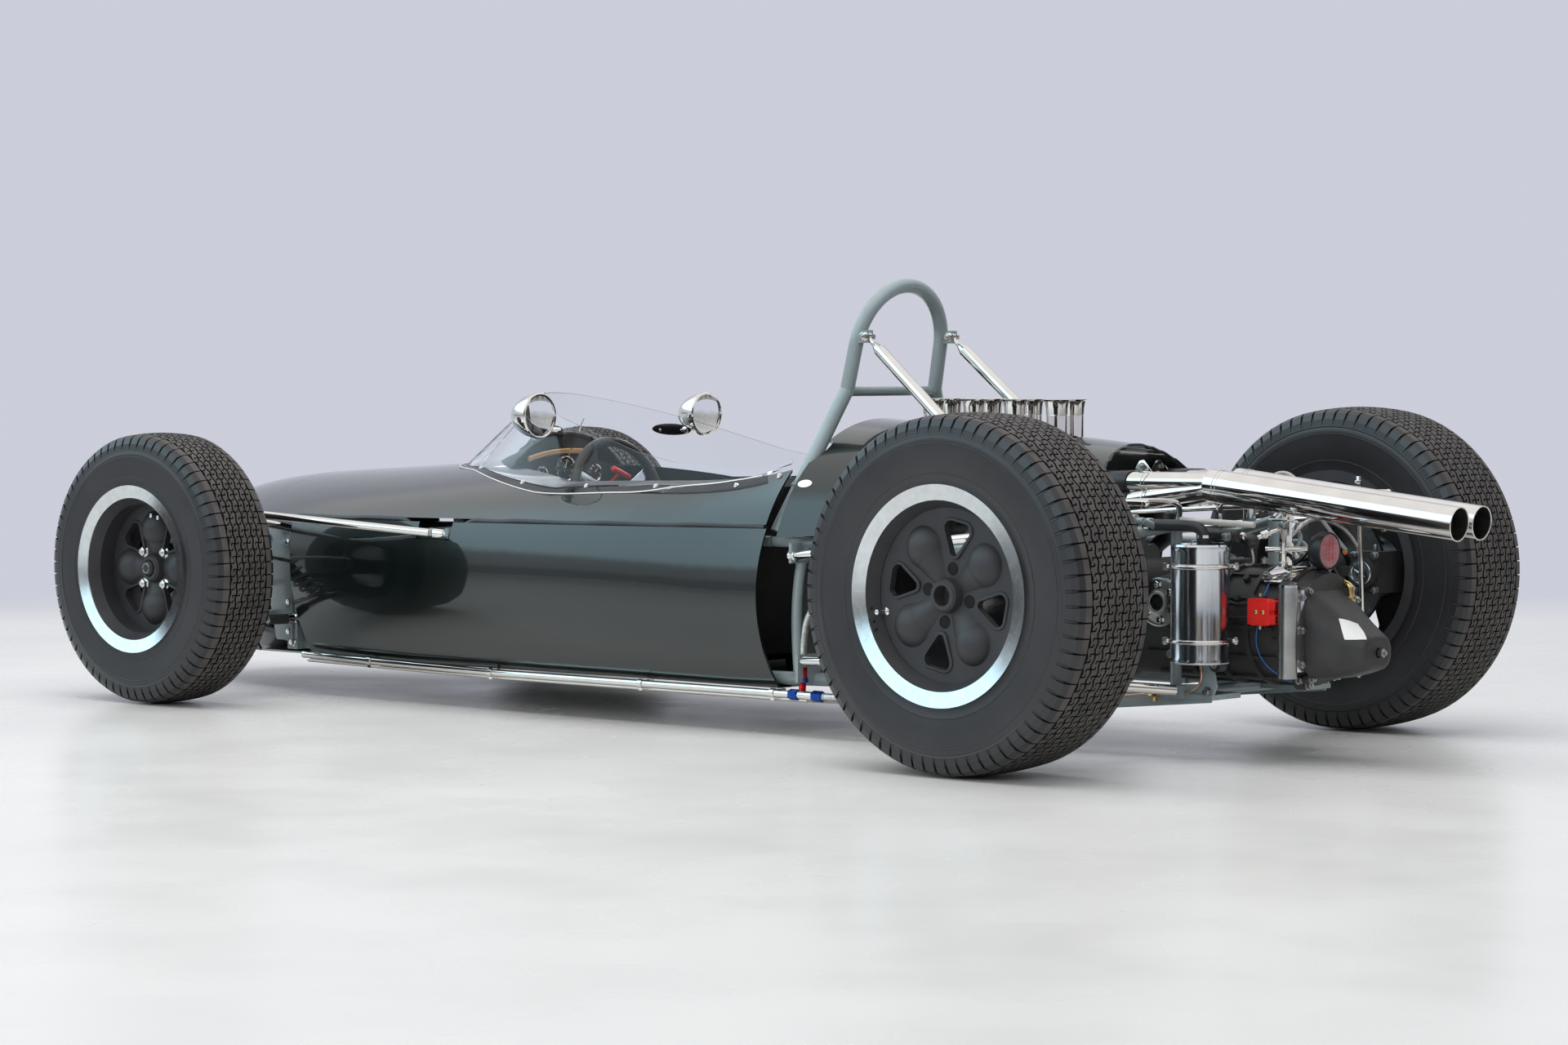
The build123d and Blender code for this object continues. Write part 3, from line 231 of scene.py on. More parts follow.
@dataclass(frozen=True)
class Finish:
    """A finish with a little cloudiness in its colour, its gloss and its surface."""

    name: str
    dark: Colour
    light: Colour
    roughness: float
    metallic: float = 0.0
    coat: float = 0.0
    cloud: float = 12.0
    grain: float = 400.0
    grain_depth: float = 0.0
    gloss_change: float = 0.08
    stretch: Optional[Place] = None
    specular: float = 0.5

    def start(self) -> Nodes:
        """Starts the material with its colour and gloss."""
        nodes = Nodes(self.name)
        nodes.shade({"Roughness": self.roughness, "Metallic": self.metallic, "Coat Weight": self.coat,
            "Coat Roughness": 0.03, "Specular IOR Level": self.specular})
        cloud = nodes.noise(self.cloud, 4, self.stretch)
        change = nodes.math("MULTIPLY", nodes.noise(self.cloud * 6, 5, self.stretch), 2 * self.gloss_change)
        nodes.shade({"Base Color": nodes.ramp(cloud, ((0.3, self.dark), (0.7, self.light))),
            "Roughness": nodes.math("ADD", change, self.roughness - self.gloss_change)})
        return nodes

    def surface(self, nodes: Nodes) -> None:
        """Adds the fine relief."""
        if self.grain_depth:
            nodes.bump(nodes.noise(self.grain, 2, self.stretch), 0.6, self.grain_depth)

    def build(self) -> bpy.types.Material:
        """Makes the material once and returns it."""
        if bpy.data.materials.get(self.name) is None:
            self.surface(self.start())
        return bpy.data.materials[self.name]


@dataclass(frozen=True)
class Woven(Finish):
    """A finish with a fine cell relief, for braided hose, the radiator's core and the lamp's lens."""

    cell: float = 500.0
    cell_depth: float = 0.0006

    def surface(self, nodes: Nodes) -> None:
        """Adds the cell relief."""
        nodes.bump(nodes.cells(self.cell, self.stretch), 0.9, self.cell_depth)


@dataclass(frozen=True)
class Burnt(Finish):
    """Bright metal that turns black forward of a line across the car."""

    from_x: float = 0.0
    soot: Colour = (0.012, 0.012, 0.013)

    def surface(self, nodes: Nodes) -> None:
        """Blackens the metal forward of the line."""
        black = nodes.math("GREATER_THAN", nodes.split()[0], self.from_x)
        base, rough = (nodes.shader.inputs[key].links[0].from_socket for key in ("Base Color", "Roughness"))
        nodes.shade({"Base Color": nodes.mix(black, base, self.soot), "Metallic": nodes.math("SUBTRACT", 1, black),
            "Roughness": nodes.math("ADD", rough, nodes.math("MULTIPLY", black, 0.45))})


@dataclass(frozen=True)
class Acrylic(Finish):
    """Clear bent sheet, very slightly clouded."""

    name: str = "clear_acrylic"
    dark: Colour = (0.97, 0.985, 0.99)
    light: Colour = dark
    roughness: float = 0.02
    ior: float = 1.22

    def start(self) -> Nodes:
        """Starts the clear sheet."""
        nodes = Nodes(self.name)
        nodes.shade({"Roughness": self.roughness, "Metallic": 0, "Coat Weight": 0, "Base Color": self.dark,
            "Transmission Weight": 1, "IOR": self.ior})
        nodes.shade({"Roughness": nodes.math("MULTIPLY", nodes.noise(7, 4), self.roughness)})
        return nodes


PAINT = Finish("deep_green_paint", (0.001, 0.0036, 0.0034), (0.0013, 0.0046, 0.0042), 0.3, coat=1, gloss_change=0.02,
    cloud=5, specular=0.25)
FRAME_PAINT = Finish("grey_green_enamel", (0.205, 0.255, 0.27), (0.24, 0.295, 0.31), 0.3, coat=0.5, grain=220,
    grain_depth=0.0002)
SHEET = Finish("floor_sheet", (0.26, 0.27, 0.27), (0.36, 0.37, 0.37), 0.38, metallic=0.9, grain=160, grain_depth=0.0002)
CHROME = Finish("bright_nickel", (0.72, 0.69, 0.66), (0.8, 0.77, 0.74), 0.06, metallic=1, gloss_change=0.03, cloud=20)
EXHAUST = Burnt("nickel_exhaust", (0.72, 0.69, 0.66), (0.8, 0.77, 0.74), 0.06, metallic=1, gloss_change=0.03, cloud=20,
    from_x=(44 - MID_LENGTH_X) / 1000)
STEEL = Finish("machined_steel", (0.34, 0.34, 0.34), (0.46, 0.46, 0.45), 0.3, metallic=1, cloud=30)
ALLOY = Finish("polished_alloy", (0.52, 0.55, 0.6), (0.64, 0.67, 0.71), 0.16, metallic=1, cloud=60,
    stretch=(1, 1, 0.05), gloss_change=0.06)
DULL_ALLOY = Finish("dull_alloy_tube", (0.36, 0.36, 0.36), (0.5, 0.5, 0.49), 0.34, metallic=1, cloud=30)
CASTING = Finish("dark_sand_casting", (0.02, 0.019, 0.02), (0.036, 0.034, 0.034), 0.5, cloud=18, grain=500,
    grain_depth=0.0006)
ENGINE_ALLOY = Finish("engine_alloy", (0.16, 0.16, 0.155), (0.26, 0.26, 0.25), 0.42, metallic=0.8, grain=320,
    grain_depth=0.0005)
BLACK = Finish("satin_black", (0.01, 0.01, 0.011), (0.016, 0.016, 0.017), 0.4, grain=600, grain_depth=0.0002)
CRACKLE = Finish("crackle_black", (0.011, 0.011, 0.012), (0.022, 0.022, 0.023), 0.5, grain=900, grain_depth=0.0009)
HOSE = Finish("black_hose", (0.012, 0.012, 0.013), (0.02, 0.02, 0.021), 0.48, cloud=30, grain=300, grain_depth=0.0003)
LEATHER = Finish("black_leather", (0.016, 0.015, 0.014), (0.026, 0.024, 0.022), 0.42, grain=260, grain_depth=0.0008)
TAN = Finish("tan_leather", (0.42, 0.24, 0.1), (0.56, 0.34, 0.15), 0.45, grain=320, grain_depth=0.0006)
RUBBER = Finish("sidewall_rubber", (0.015, 0.015, 0.017), (0.023, 0.023, 0.026), 0.32, cloud=8, grain=300,
    grain_depth=0.0002)
TREAD = Finish("worn_tread_rubber", (0.046, 0.042, 0.041), (0.082, 0.074, 0.07), 0.72, cloud=24, grain=500,
    grain_depth=0.0006)
# Near black, far darker than the rubber itself: painted shade for the walls and floors of the tread grooves and for the
# lug wells
GROOVE_SHADE = Finish("painted_groove_shade", (0.0015, 0.0015, 0.0015), (0.003, 0.003, 0.003), 0.85, cloud=30)
RED_PLASTIC = Finish("red_plastic", (0.55, 0.014, 0.01), (0.66, 0.02, 0.014), 0.38, grain=500, grain_depth=0.0002)
RED_METAL = Finish("red_anodised", (0.42, 0.01, 0.014), (0.55, 0.016, 0.02), 0.24, metallic=0.75, cloud=30)
BLUE_METAL = Finish("blue_anodised", (0.006, 0.05, 0.3), (0.01, 0.075, 0.42), 0.24, metallic=0.75, cloud=30)
BLUE_WIRE = Finish("blue_wire", (0.02, 0.1, 0.36), (0.03, 0.14, 0.46), 0.42, cloud=40)
TEAL_METAL = Finish("teal_anodised", (0.01, 0.23, 0.27), (0.016, 0.32, 0.36), 0.28, metallic=0.5, cloud=30)
ORANGE = Finish("orange_rubber", (0.6, 0.13, 0.025), (0.7, 0.18, 0.035), 0.45, cloud=40)
BRASS = Finish("brass", (0.6, 0.42, 0.18), (0.74, 0.54, 0.26), 0.22, metallic=1, cloud=40)
COPPER = Finish("copper_pipe", (0.55, 0.34, 0.24), (0.68, 0.46, 0.34), 0.22, metallic=1, cloud=40)
GREY_CABLE = Finish("grey_cable", (0.3, 0.3, 0.29), (0.4, 0.39, 0.38), 0.4, cloud=40, grain=600, grain_depth=0.0003)
BRAID = Woven("braided_steel", (0.42, 0.4, 0.38), (0.72, 0.7, 0.67), 0.3, metallic=1, cloud=160, cell=620)
CORE = Woven("radiator_core", (0.015, 0.015, 0.016), (0.05, 0.05, 0.05), 0.5, metallic=0.4, cloud=60, cell=260,
    cell_depth=0.0015, stretch=(1, 0.25, 1))
MIRROR = Finish("mirror_glass", (0.9, 0.91, 0.92), (0.93, 0.94, 0.95), 0.015, metallic=1, gloss_change=0.006)
WHITE = Finish("white_enamel", (0.72, 0.73, 0.73), (0.8, 0.81, 0.81), 0.3, coat=0.4, cloud=30)
DIAL = Finish("dial_black", (0.01, 0.01, 0.011), (0.014, 0.014, 0.015), 0.45, cloud=60)
MARKING = Finish("dial_marking", (0.7, 0.69, 0.62), (0.78, 0.77, 0.7), 0.45, cloud=90)
LENS = Woven("red_lens", (0.25, 0.075, 0.09), (0.33, 0.11, 0.125), 0.22, coat=0.6, cloud=40, cell=260,
    cell_depth=0.0008)
ACRYLIC = Acrylic()


@dataclass(frozen=True)
class RimFinish:
    """Dark magnesium with a polished outer lip, told apart by the distance from the axle."""

    name: str
    centre: Vector
    lip_from: float
    face_from: float
    side: Side

    def build(self) -> bpy.types.Material:
        """Makes the rim's material."""
        nodes = Nodes(self.name)
        product, total = (lambda a, b: nodes.math("MULTIPLY", a, b)), (lambda a, b: nodes.math("ADD", a, b))
        x, y, z = nodes.split()
        radius = nodes.length(nodes.math("SUBTRACT", x, self.centre.x), nodes.math("SUBTRACT", z, self.centre.z))
        out = product(nodes.math("SUBTRACT", y, self.centre.y), float(self.side.value))
        on_lip = product(nodes.math("GREATER_THAN", radius, self.lip_from), nodes.math("GREATER_THAN", out,
            self.face_from))
        dark = nodes.ramp(nodes.noise(14, 4), ((0.3, (0.02, 0.02, 0.023)), (0.7, (0.03, 0.03, 0.033))))
        bright = nodes.ramp(nodes.noise(60, 2), ((0.3, (0.55, 0.57, 0.59)), (0.7, (0.64, 0.66, 0.68))))
        rough = total(product(nodes.noise(90, 3), 0.12), 0.46)
        nodes.shade({"Base Color": nodes.mix(on_lip, dark, bright), "Metallic": on_lip,
            "Roughness": total(rough, product(on_lip, -0.32))})
        slope = product(product(radius, 0.34), on_lip)
        nodes.bump(total(product(nodes.noise(650, 2), 0.0001), slope), 1, 1)
        return nodes.material


# Modelling steps that every piece shares; places are the drawing's millimetres


def pick(*objects: Thing) -> None:
    """Selects only these objects, outside edit mode, and makes the first one active."""
    if bpy.context.object is not None and bpy.context.object.mode != "OBJECT":
        bpy.ops.object.mode_set(mode="OBJECT")
    bpy.ops.object.select_all(action="DESELECT")
    for obj in objects:
        obj.select_set(True)
        bpy.context.view_layer.objects.active = objects[0]


def settle() -> Thing:
    """Puts the new object's place into its mesh."""
    obj = bpy.context.object
    pick(obj)
    bpy.ops.object.transform_apply(location=True, rotation=True, scale=True)
    return obj


def add(name: str, data: bpy.types.ID) -> Thing:
    """Puts a new object with this mesh, curve, lamp or camera into the scene."""
    obj = bpy.data.objects.new(name, data)
    bpy.context.scene.collection.objects.link(obj)
    return obj


@contextmanager
def editing(obj: Thing, chosen: Optional[Callable[[bpy.types.MeshPolygon], bool]] = None) -> Iterator[None]:
    """Edit mode with everything or only the chosen faces selected, and back to object mode.

    Args:
        obj: The object to edit.
        chosen: Tells for each face whether it is wanted, or nothing for all.

    Yields:
        Nothing, while the object is in edit mode.
    """
    pick(obj)
    bpy.ops.object.mode_set(mode="EDIT")
    if chosen is None:
        bpy.ops.mesh.select_all(action="SELECT")
    else:
        bpy.ops.mesh.select_mode(type="FACE")
        bpy.ops.mesh.select_all(action="DESELECT")
        bpy.ops.object.mode_set(mode="OBJECT")
        for face in obj.data.polygons:
            face.select = chosen(face)
        bpy.ops.object.mode_set(mode="EDIT")
    yield
    bpy.ops.object.mode_set(mode="OBJECT")


def fix_normals(obj: Thing) -> Thing:
    """Merges doubles and turns faces outwards."""
    with editing(obj):
        bpy.ops.mesh.remove_doubles(threshold=1e-5)
        bpy.ops.mesh.normals_make_consistent(inside=False)
    return obj


def round_edges(bevel: float) -> None:
    """Rounds the selected edges by so many millimetres, if any."""
    if bevel:
        bpy.ops.mesh.bevel(offset=bevel / 1000, segments=2, affect="EDGES")


def smooth(obj: Thing, degrees: float) -> Thing:
    """Shades smooth except across edges sharper than an angle."""
    pick(obj)
    bpy.ops.object.shade_smooth_by_angle(angle=math.radians(degrees))
    return obj


def thicken(obj: Thing, thickness: float, offset: float) -> None:
    """Gives a sheet its thickness in metres, to both sides at offset 0 or outwards at 1."""
    solid = obj.modifiers.new("thickness", "SOLIDIFY")
    solid.thickness, solid.offset = thickness, offset
    bpy.ops.object.modifier_apply(modifier="thickness")


def join(parts: Sequence[Thing], name: str = "part") -> Thing:
    """Joins parts into one object with this name."""
    pick(*parts)
    if len(parts) > 1:
        bpy.ops.object.join()
    obj = bpy.context.view_layer.objects.active
    obj.name = obj.data.name = name
    return obj


def paint(obj: Thing, material: bpy.types.Material) -> Thing:
    """Gives the whole object one material."""
    obj.data.materials.clear()
    obj.data.materials.append(material)
    return obj


def line(points: Iterable[Vector], radius: float = 0.0, sides: int = 0) -> Thing:
    """An edge line, or a tube when it has a radius, drawn as a curve and turned into a mesh.

    Args:
        points: Points in metres that it follows.
        radius: The tube's radius in metres.
        sides: The tube's bevel resolution.

    Returns:
        The mesh.
    """
    points = list(points)
    curve = bpy.data.curves.new("line", "CURVE")
    curve.dimensions = "3D"
    curve.bevel_depth, curve.bevel_resolution = radius, sides
    curve.use_fill_caps = radius > 0
    curve.resolution_u = 6
    bent = radius > 0 and len(points) > 2
    spline = curve.splines.new("NURBS" if bent else "POLY")
    spline.points.add(len(points) - 1)
    for slot, point in zip(spline.points, points):
        slot.co = (*point, 1)
    if bent:
        spline.order_u = 3
        spline.use_endpoint_u = True
    pick(add("line", curve))
    bpy.ops.object.convert(target="MESH")
    return bpy.context.view_layer.objects.active


def tube(points: Iterable[Point], radius: float, sides: int = 3) -> Thing:
    """A smooth round tube that follows points."""
    return smooth(fix_normals(line((at(*p) for p in points), radius / 1000, sides)), 50)


def spun(profile: Sequence[Pair], centre: Point, axis: Vector, steps: int) -> Thing:
    """Spins a profile once round an axis.

    Args:
        profile: Corner points, as radius and place along the axis.
        centre: Where along is zero.
        axis: The axis direction.
        steps: Faces round the ring.

    Returns:
        The ring, with its normals turned outwards.
    """
    axis = axis.normalized()
    across = axis.orthogonal().normalized()
    middle = at(*centre)
    obj = line(middle + (across * r + axis * a) / 1000 for r, a in profile)
    with editing(obj):
        bpy.ops.mesh.spin(steps=steps, angle=TURN, center=middle, axis=axis)
    return smooth(fix_normals(obj), 32)


def block(low: Point, high: Point, bevel: float = 1.0) -> Thing:
    """A box with rounded edges.

    Args:
        low: Lowest corner.
        high: Highest corner.
        bevel: Edge rounding.

    Returns:
        The box.
    """
    pick()
    a, b = at(*low), at(*high)
    bpy.ops.mesh.primitive_cube_add(size=1, location=(a + b) / 2, scale=b - a)
    box = settle()
    with editing(box):
        round_edges(bevel)
    return smooth(box, 40)


def bar(start: Point, end: Point, radius: float, bevel: float = 0.6, sides: int = 24,
        end_radius: Optional[float] = None) -> Thing:
    """A round bar with its end edges broken.

    Args:
        start: Centre of the first end.
        end: Centre of the other end.
        radius: Radius at the start.
        bevel: Size of the broken edges.
        sides: Faces round the bar.
        end_radius: Radius at the end, where it differs.

    Returns:
        The bar.
    """
    pick()
    a, b = at(*start), at(*end)
    top = radius if end_radius is None else end_radius
    bpy.ops.mesh.primitive_cone_add(vertices=sides, radius1=radius / 1000, radius2=top / 1000, depth=(b - a).length,
        location=(a + b) / 2, rotation=(b - a).to_track_quat("Z", "Y").to_euler())
    if bevel:
        with editing(bpy.context.object, lambda face: abs(face.normal.z) > 0.99):
            round_edges(bevel)
    return smooth(settle(), 40)


def ball(place: Point, radius: float, scale: Point = (1, 1, 1)) -> Thing:
    """A ball, or an egg when it is scaled."""
    pick()
    bpy.ops.mesh.primitive_uv_sphere_add(segments=24, ring_count=14, radius=radius / 1000, location=at(*place),
        scale=scale)
    return smooth(settle(), 60)


def pad(place: Vector, normal: Vector, half: Point) -> Thing:
    """An oval pad with three half sizes that lies on a surface."""
    pad = ball((0, 0, 0), 1, half)
    pad.data.transform(Matrix.Translation(at(*place)) @ upright_on(normal) @ Matrix.Translation(-at(0, 0, 0)))
    return pad


def ring(place: Point, axis: Vector, major: float, minor: float, around: int = 40) -> Thing:
    """A round ring about an axis."""
    pick()
    bpy.ops.mesh.primitive_torus_add(location=at(*place), rotation=axis.to_track_quat("Z", "Y").to_euler(),
        major_radius=major / 1000, minor_radius=minor / 1000, major_segments=around, minor_segments=10)
    return smooth(settle(), 60)


def plate(corners: Sequence[Point], thick: Point, bevel: float = 0.8) -> Thing:
    """A flat plate with rounded edges, drawn as an outline and extruded.

    Args:
        corners: The outline.
        thick: The extrusion.
        bevel: Edge rounding.

    Returns:
        The plate.
    """
    outline = [at(*corner) for corner in corners]
    obj = line(outline + outline[:1])
    with editing(obj):
        bpy.ops.mesh.remove_doubles(threshold=1e-6)
        bpy.ops.mesh.edge_face_add()
        bpy.ops.mesh.extrude_region_move(TRANSFORM_OT_translate={"value": Vector(thick) / 1000})
        bpy.ops.mesh.select_all(action="SELECT")
        bpy.ops.mesh.normals_make_consistent(inside=False)
        round_edges(bevel)
    return smooth(obj, 40)


def spring(start: Vector, end: Vector, radius: float, wire: float, turns: float) -> Thing:
    """A coil spring between two points.

    Args:
        start: One end of its axis.
        end: The other end.
        radius: Radius of the coil's middle.
        wire: Radius of the wire.
        turns: Number of turns.

    Returns:
        The spring.
    """
    u = (end - start).normalized().orthogonal().normalized()
    v = (end - start).normalized().cross(u)
    count = int(turns * 12)
    points = []
    for k in range(count + 1):
        angle = TURN * turns * k / count
        points.append(start + (end - start) * k / count + (u * math.cos(angle) + v * math.sin(angle)) * radius)
    return tube(points, wire, 2)


def bolts(seats: Seats, across: float, height: float, washer: float = 0.0) -> Thing:
    """Hexagon heads on their seats, each with its thread end showing.

    Args:
        seats: Place and outward direction of each head.
        across: Width over the flats.
        height: Height of the head.
        washer: Radius of a washer below it, or none.

    Returns:
        The joined heads.
    """
    pick()
    radius, tall = across / math.sqrt(3) / 1000, height / 1000
    lift = 0.0012 if washer else 0
    bpy.ops.mesh.primitive_cylinder_add(vertices=6, radius=radius, depth=tall, location=(0, 0, tall / 2 + lift))
    head = settle()
    with editing(head, lambda face: face.normal.z > 0.9):
        bpy.ops.mesh.inset(thickness=radius * 0.16, depth=tall * 0.12)
        bpy.ops.mesh.inset(thickness=radius * 0.3, depth=0)
        bpy.ops.mesh.extrude_region_move(TRANSFORM_OT_translate={"value": UP * tall * 0.35})
    if washer:
        pick()
        bpy.ops.mesh.primitive_cylinder_add(vertices=20, radius=washer / 1000, depth=0.0014, location=(0, 0, 0.0007))
        head = join([head, settle()])
    return copies(head, seats)


def buttons(seats: Seats, radius: float, height: float) -> Thing:
    """Domed rivet or screw heads on their seats."""
    pick()
    bpy.ops.mesh.primitive_uv_sphere_add(segments=16, ring_count=8, radius=radius / 1000)
    bpy.context.object.scale = (1, 1, height / radius)
    head = settle()
    with editing(head, lambda face: face.center.z < -1e-6):
        bpy.ops.mesh.delete(type="FACE")
    return copies(smooth(head, 60), seats)


def copies(obj: Thing, seats: Seats) -> Thing:
    """Copies a part to each seat and joins the copies.

    Args:
        obj: The part, modelled at the origin along +Z.
        seats: Place and outward direction of each copy.

    Returns:
        The joined copies.
    """
    made = []
    for place, out in seats:
        mesh = obj.data.copy()
        mesh.transform(Matrix.Translation(at(*place)) @ upright_on(out))
        made.append(add("copy", mesh))
    bpy.data.objects.remove(obj)
    return join(made)


def flipped(value: object, side: Side) -> object:
    """A point, a direction or a list of them, moved from the left side to this one."""
    if isinstance(value, Vector) or isinstance(value, tuple) and len(value) == 3:
        return Vector(side.flip(value))
    return [flipped(entry, side) for entry in value] if isinstance(value, (list, tuple)) else value


def make(rows: Iterable[tuple], sides: Iterable[Side] = (Side.LEFT,), groups: Optional[Groups] = None) -> Groups:
    """Makes parts from a table, as they are or on both sides.

    Args:
        rows: A finish, a modelling step and what the step takes on the left side.
        sides: The sides to make each part on.
        groups: Groups to add the parts to.

    Returns:
        The parts by finish.
    """
    groups = {} if groups is None else groups
    for side in sides:
        for finish, step, *given in rows:
            groups.setdefault(finish, []).append(step(*(flipped(value, side) for value in given)))
    return groups


def deliver(name: str, parts: Groups, body: str = CHASSIS,
        stands_for: Sequence[str] = ()) -> None:
    """Paints groups of parts, joins them into one piece, hands it to its body and reports it.

    Args:
        name: The piece's name.
        parts: Groups of parts by finish, or by nothing for parts that have theirs.
        body: The body that the piece rides on.
        stands_for: Nodes that it replaces.
    """
    for finish, group in parts.items():
        for part in group if finish else ():
            paint(part, finish.build())
    piece = join([part for group in parts.values() for part in group], name)
    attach(piece, body)
    if stands_for:
        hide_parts(*stands_for)
    log.info("%s rides on %s with %d faces", piece.name, body, len(piece.data.polygons))


# Tyres and wheels


@dataclass
class Tyre:
    """A treaded racing tyre: carcass, hooked ribs and two rows of shoulder lugs, in millimetres."""

    end: str
    side: Side
    axle_x: float
    track_half: float
    radius: float
    width: float
    rim_radius: float
    bead_seat: float
    bead_half: float
    pitches: int
    ribs: int = 7
    depth: float = 5.0
    groove: float = 4.4
    zigzag: float = 0.12
    shoulder_drop: float = 24.0

    @property
    def centre(self) -> Place:
        """The wheel's centre."""
        return self.side.flip((self.axle_x, self.track_half, self.radius))

    @property
    def body(self) -> str:
        """The body that the tyre rides on."""
        return f"{self.end}_wheel_{self.side.word}"

    @property
    def rib_width(self) -> float:
        """Width of one rib."""
        return (self.width - 68) / self.ribs

    def crown_radius(self, v: float) -> float:
        """Radius of the tread surface at v from the middle plane."""
        edge = self.width / 2 - 17
        return self.radius - 5 * (v / edge) ** 2

    def outline(self, s: float) -> Pair:
        """Outer profile from the tread edge down the shoulder.

        Args:
            s: 0 at the inner end of a lug, 1 at its foot on the sidewall.

        Returns:
            Radius and half width.
        """
        wall = self.width / 2
        points = ((self.crown_radius(wall - 34), wall - 34), (self.radius - 5, wall - 17),
            (self.radius - 11.2, wall - 6.6), (self.radius - self.shoulder_drop, wall - 1),
            (self.radius - 38, wall + 1.2))
        place = s * (len(points) - 1)
        k = min(int(place), len(points) - 2)
        t = place - k
        (r0, y0), (r1, y1) = points[k], points[k + 1]
        return r0 + (r1 - r0) * t, y0 + (y1 - y0) * t

    def place(self, angle: float, radius: float, y: float) -> Vector:
        """A point of the tyre, in metres, from its angle, radius and width place."""
        x0, y0, z0 = self.centre
        return at(x0 + math.cos(angle) * radius, y0 + y, z0 + math.sin(angle) * radius)

    def rib_cell(self, wave: float) -> tuple[list[Pair], list[Pair]]:
        """One pitch of a rib: its left and right zigzag edges, each with a hooked cut.

        Args:
            wave: How far the zigzag edges swing at the cell's start, as a share of the rib's width.

        Returns:
            Two paths of (along, across) shares of pitch and rib width, from start to end.
        """
        shrink = self.groove / 2 / self.rib_width

        def swing(u: float) -> float:
            """How far the edge swings at u."""
            return wave * (1 - 4 * u if u < 0.5 else 4 * u - 3)

        def edge(u: float) -> Pair:
            """The left edge at u."""
            return u, -0.5 + shrink + swing(u)

        cut = [edge(0.18), (0.18, -0.06), (0.21, 0.09), (0.26, 0.14), (0.42, 0.14), (0.43, 0), (0.33, -0.01),
            (0.29, -0.07), (0.28, -0.2), edge(0.28)]
        left = [edge(0)] + cut + [edge(0.5)]
        mirrored = [(1 - u, -(v - swing(u)) + swing(1 - u)) if k in (0, len(cut) - 1) else (1 - u, -v)
            for k, (u, v) in enumerate(cut)][::-1]
        right = [(0, 0.5 - shrink + swing(0)), (0.5, 0.5 - shrink + swing(0.5))] + mirrored
        return left, right

    def rib_faces(self, verts: list[Vector], faces: Faces, marks: list[int]) -> None:
        """Adds every rib cell, with a worn top and walls in painted shade.

        Args:
            verts: Points to add to.
            faces: Faces to add to.
            marks: Material numbers to add to.
        """
        step = TURN / self.pitches

        def strip(path: Sequence[Pair], base: float, sunk: float, centre_v: float) -> list[int]:
            """Adds a path's points and returns their numbers."""
            ids = []
            for u, v in path:
                y = centre_v + v * self.rib_width
                ids.append(len(verts))
                verts.append(self.place(base + u * step, self.crown_radius(y) - sunk, y))
            return ids

        for rib in range(self.ribs):
            centre_v = (rib - (self.ribs - 1) / 2) * self.rib_width
            left, right = self.rib_cell(self.zigzag * (-1) ** rib)
            for k in range(self.pitches):
                base = (k + 0.5 * (rib % 2)) * step
                lt, rt, lb, rb = (strip(path + [(1, path[0][1])], base, sunk, centre_v) for sunk in (0, self.depth)
                    for path in (left, right))
                faces.append(lt + rt[::-1])
                marks.append(0)
                # The rib walls take material 1, painted shade that darkens the grooves
                for top, low in ((lt, lb), (rb, rt)):
                    faces += [[top[i], low[i], low[i + 1], top[i + 1]] for i in range(len(top) - 1)]
                    marks += [1] * (len(top) - 1)

    def lug_faces(self, verts: list[Vector], faces: Faces, marks: list[int]) -> None:
        """Adds the two rows of shoulder lugs.

        Args:
            verts: Points to add to.
            faces: Faces to add to.
            marks: Material numbers to add to.
        """
        step = TURN / self.pitches
        gaps = (0.045, 0.05, 0.09, 0.12, 0.1)
        depths = (self.depth, self.depth, 4, 2.2, 0)
        for hand in (1, -1):
            for k in range(self.pitches):
                base = (k + 0.25) * step
                rows = []
                for j, (gap, deep) in enumerate(zip(gaps, depths)):
                    r, y = self.outline(j / 4)
                    y += self.groove / 2 if j == 0 else 0
                    rows.append(len(verts))
                    for u, d in ((gap, 0), (1 - gap, 0), (gap * 0.6, deep), (1 - gap * 0.6, deep)):
                        verts.append(self.place(base + u * step, r - d, y * hand))
                for j, (a, b) in enumerate(zip(rows, rows[1:])):
                    faces += [[a, a + 1, b + 1, b], [a + 2, a, b, b + 2], [a + 1, a + 3, b + 3, b + 1]]
                    # Lug walls take material 1, painted shade in the grooves
                    marks += [0 if j < 1 else 2, 1, 1]
                a = rows[0]
                faces.append([a + 2, a + 3, a + 1, a])
                marks.append(1)

    def tread(self) -> Thing:
        """Makes one object of all ribs and lugs."""
        verts: list[Vector] = []
        faces: Faces = []
        marks: list[int] = []
        self.rib_faces(verts, faces, marks)
        self.lug_faces(verts, faces, marks)
        mesh = bpy.data.meshes.new("tread")
        mesh.from_pydata(verts, [], faces)
        mesh.update()
        obj = add("tread", mesh)
        # Material 1 is painted shade for the groove walls
        for finish in (TREAD, GROOVE_SHADE, RUBBER):
            mesh.materials.append(finish.build())
        mesh.polygons.foreach_set("material_index", marks)
        centre = at(*self.centre)
        for face in mesh.polygons:
            out = Vector((face.center.x - centre.x, 0, face.center.z - centre.z)).normalized()
            if face.material_index != 1 and face.normal.dot(out) < -0.05:
                face.flip()
        return obj

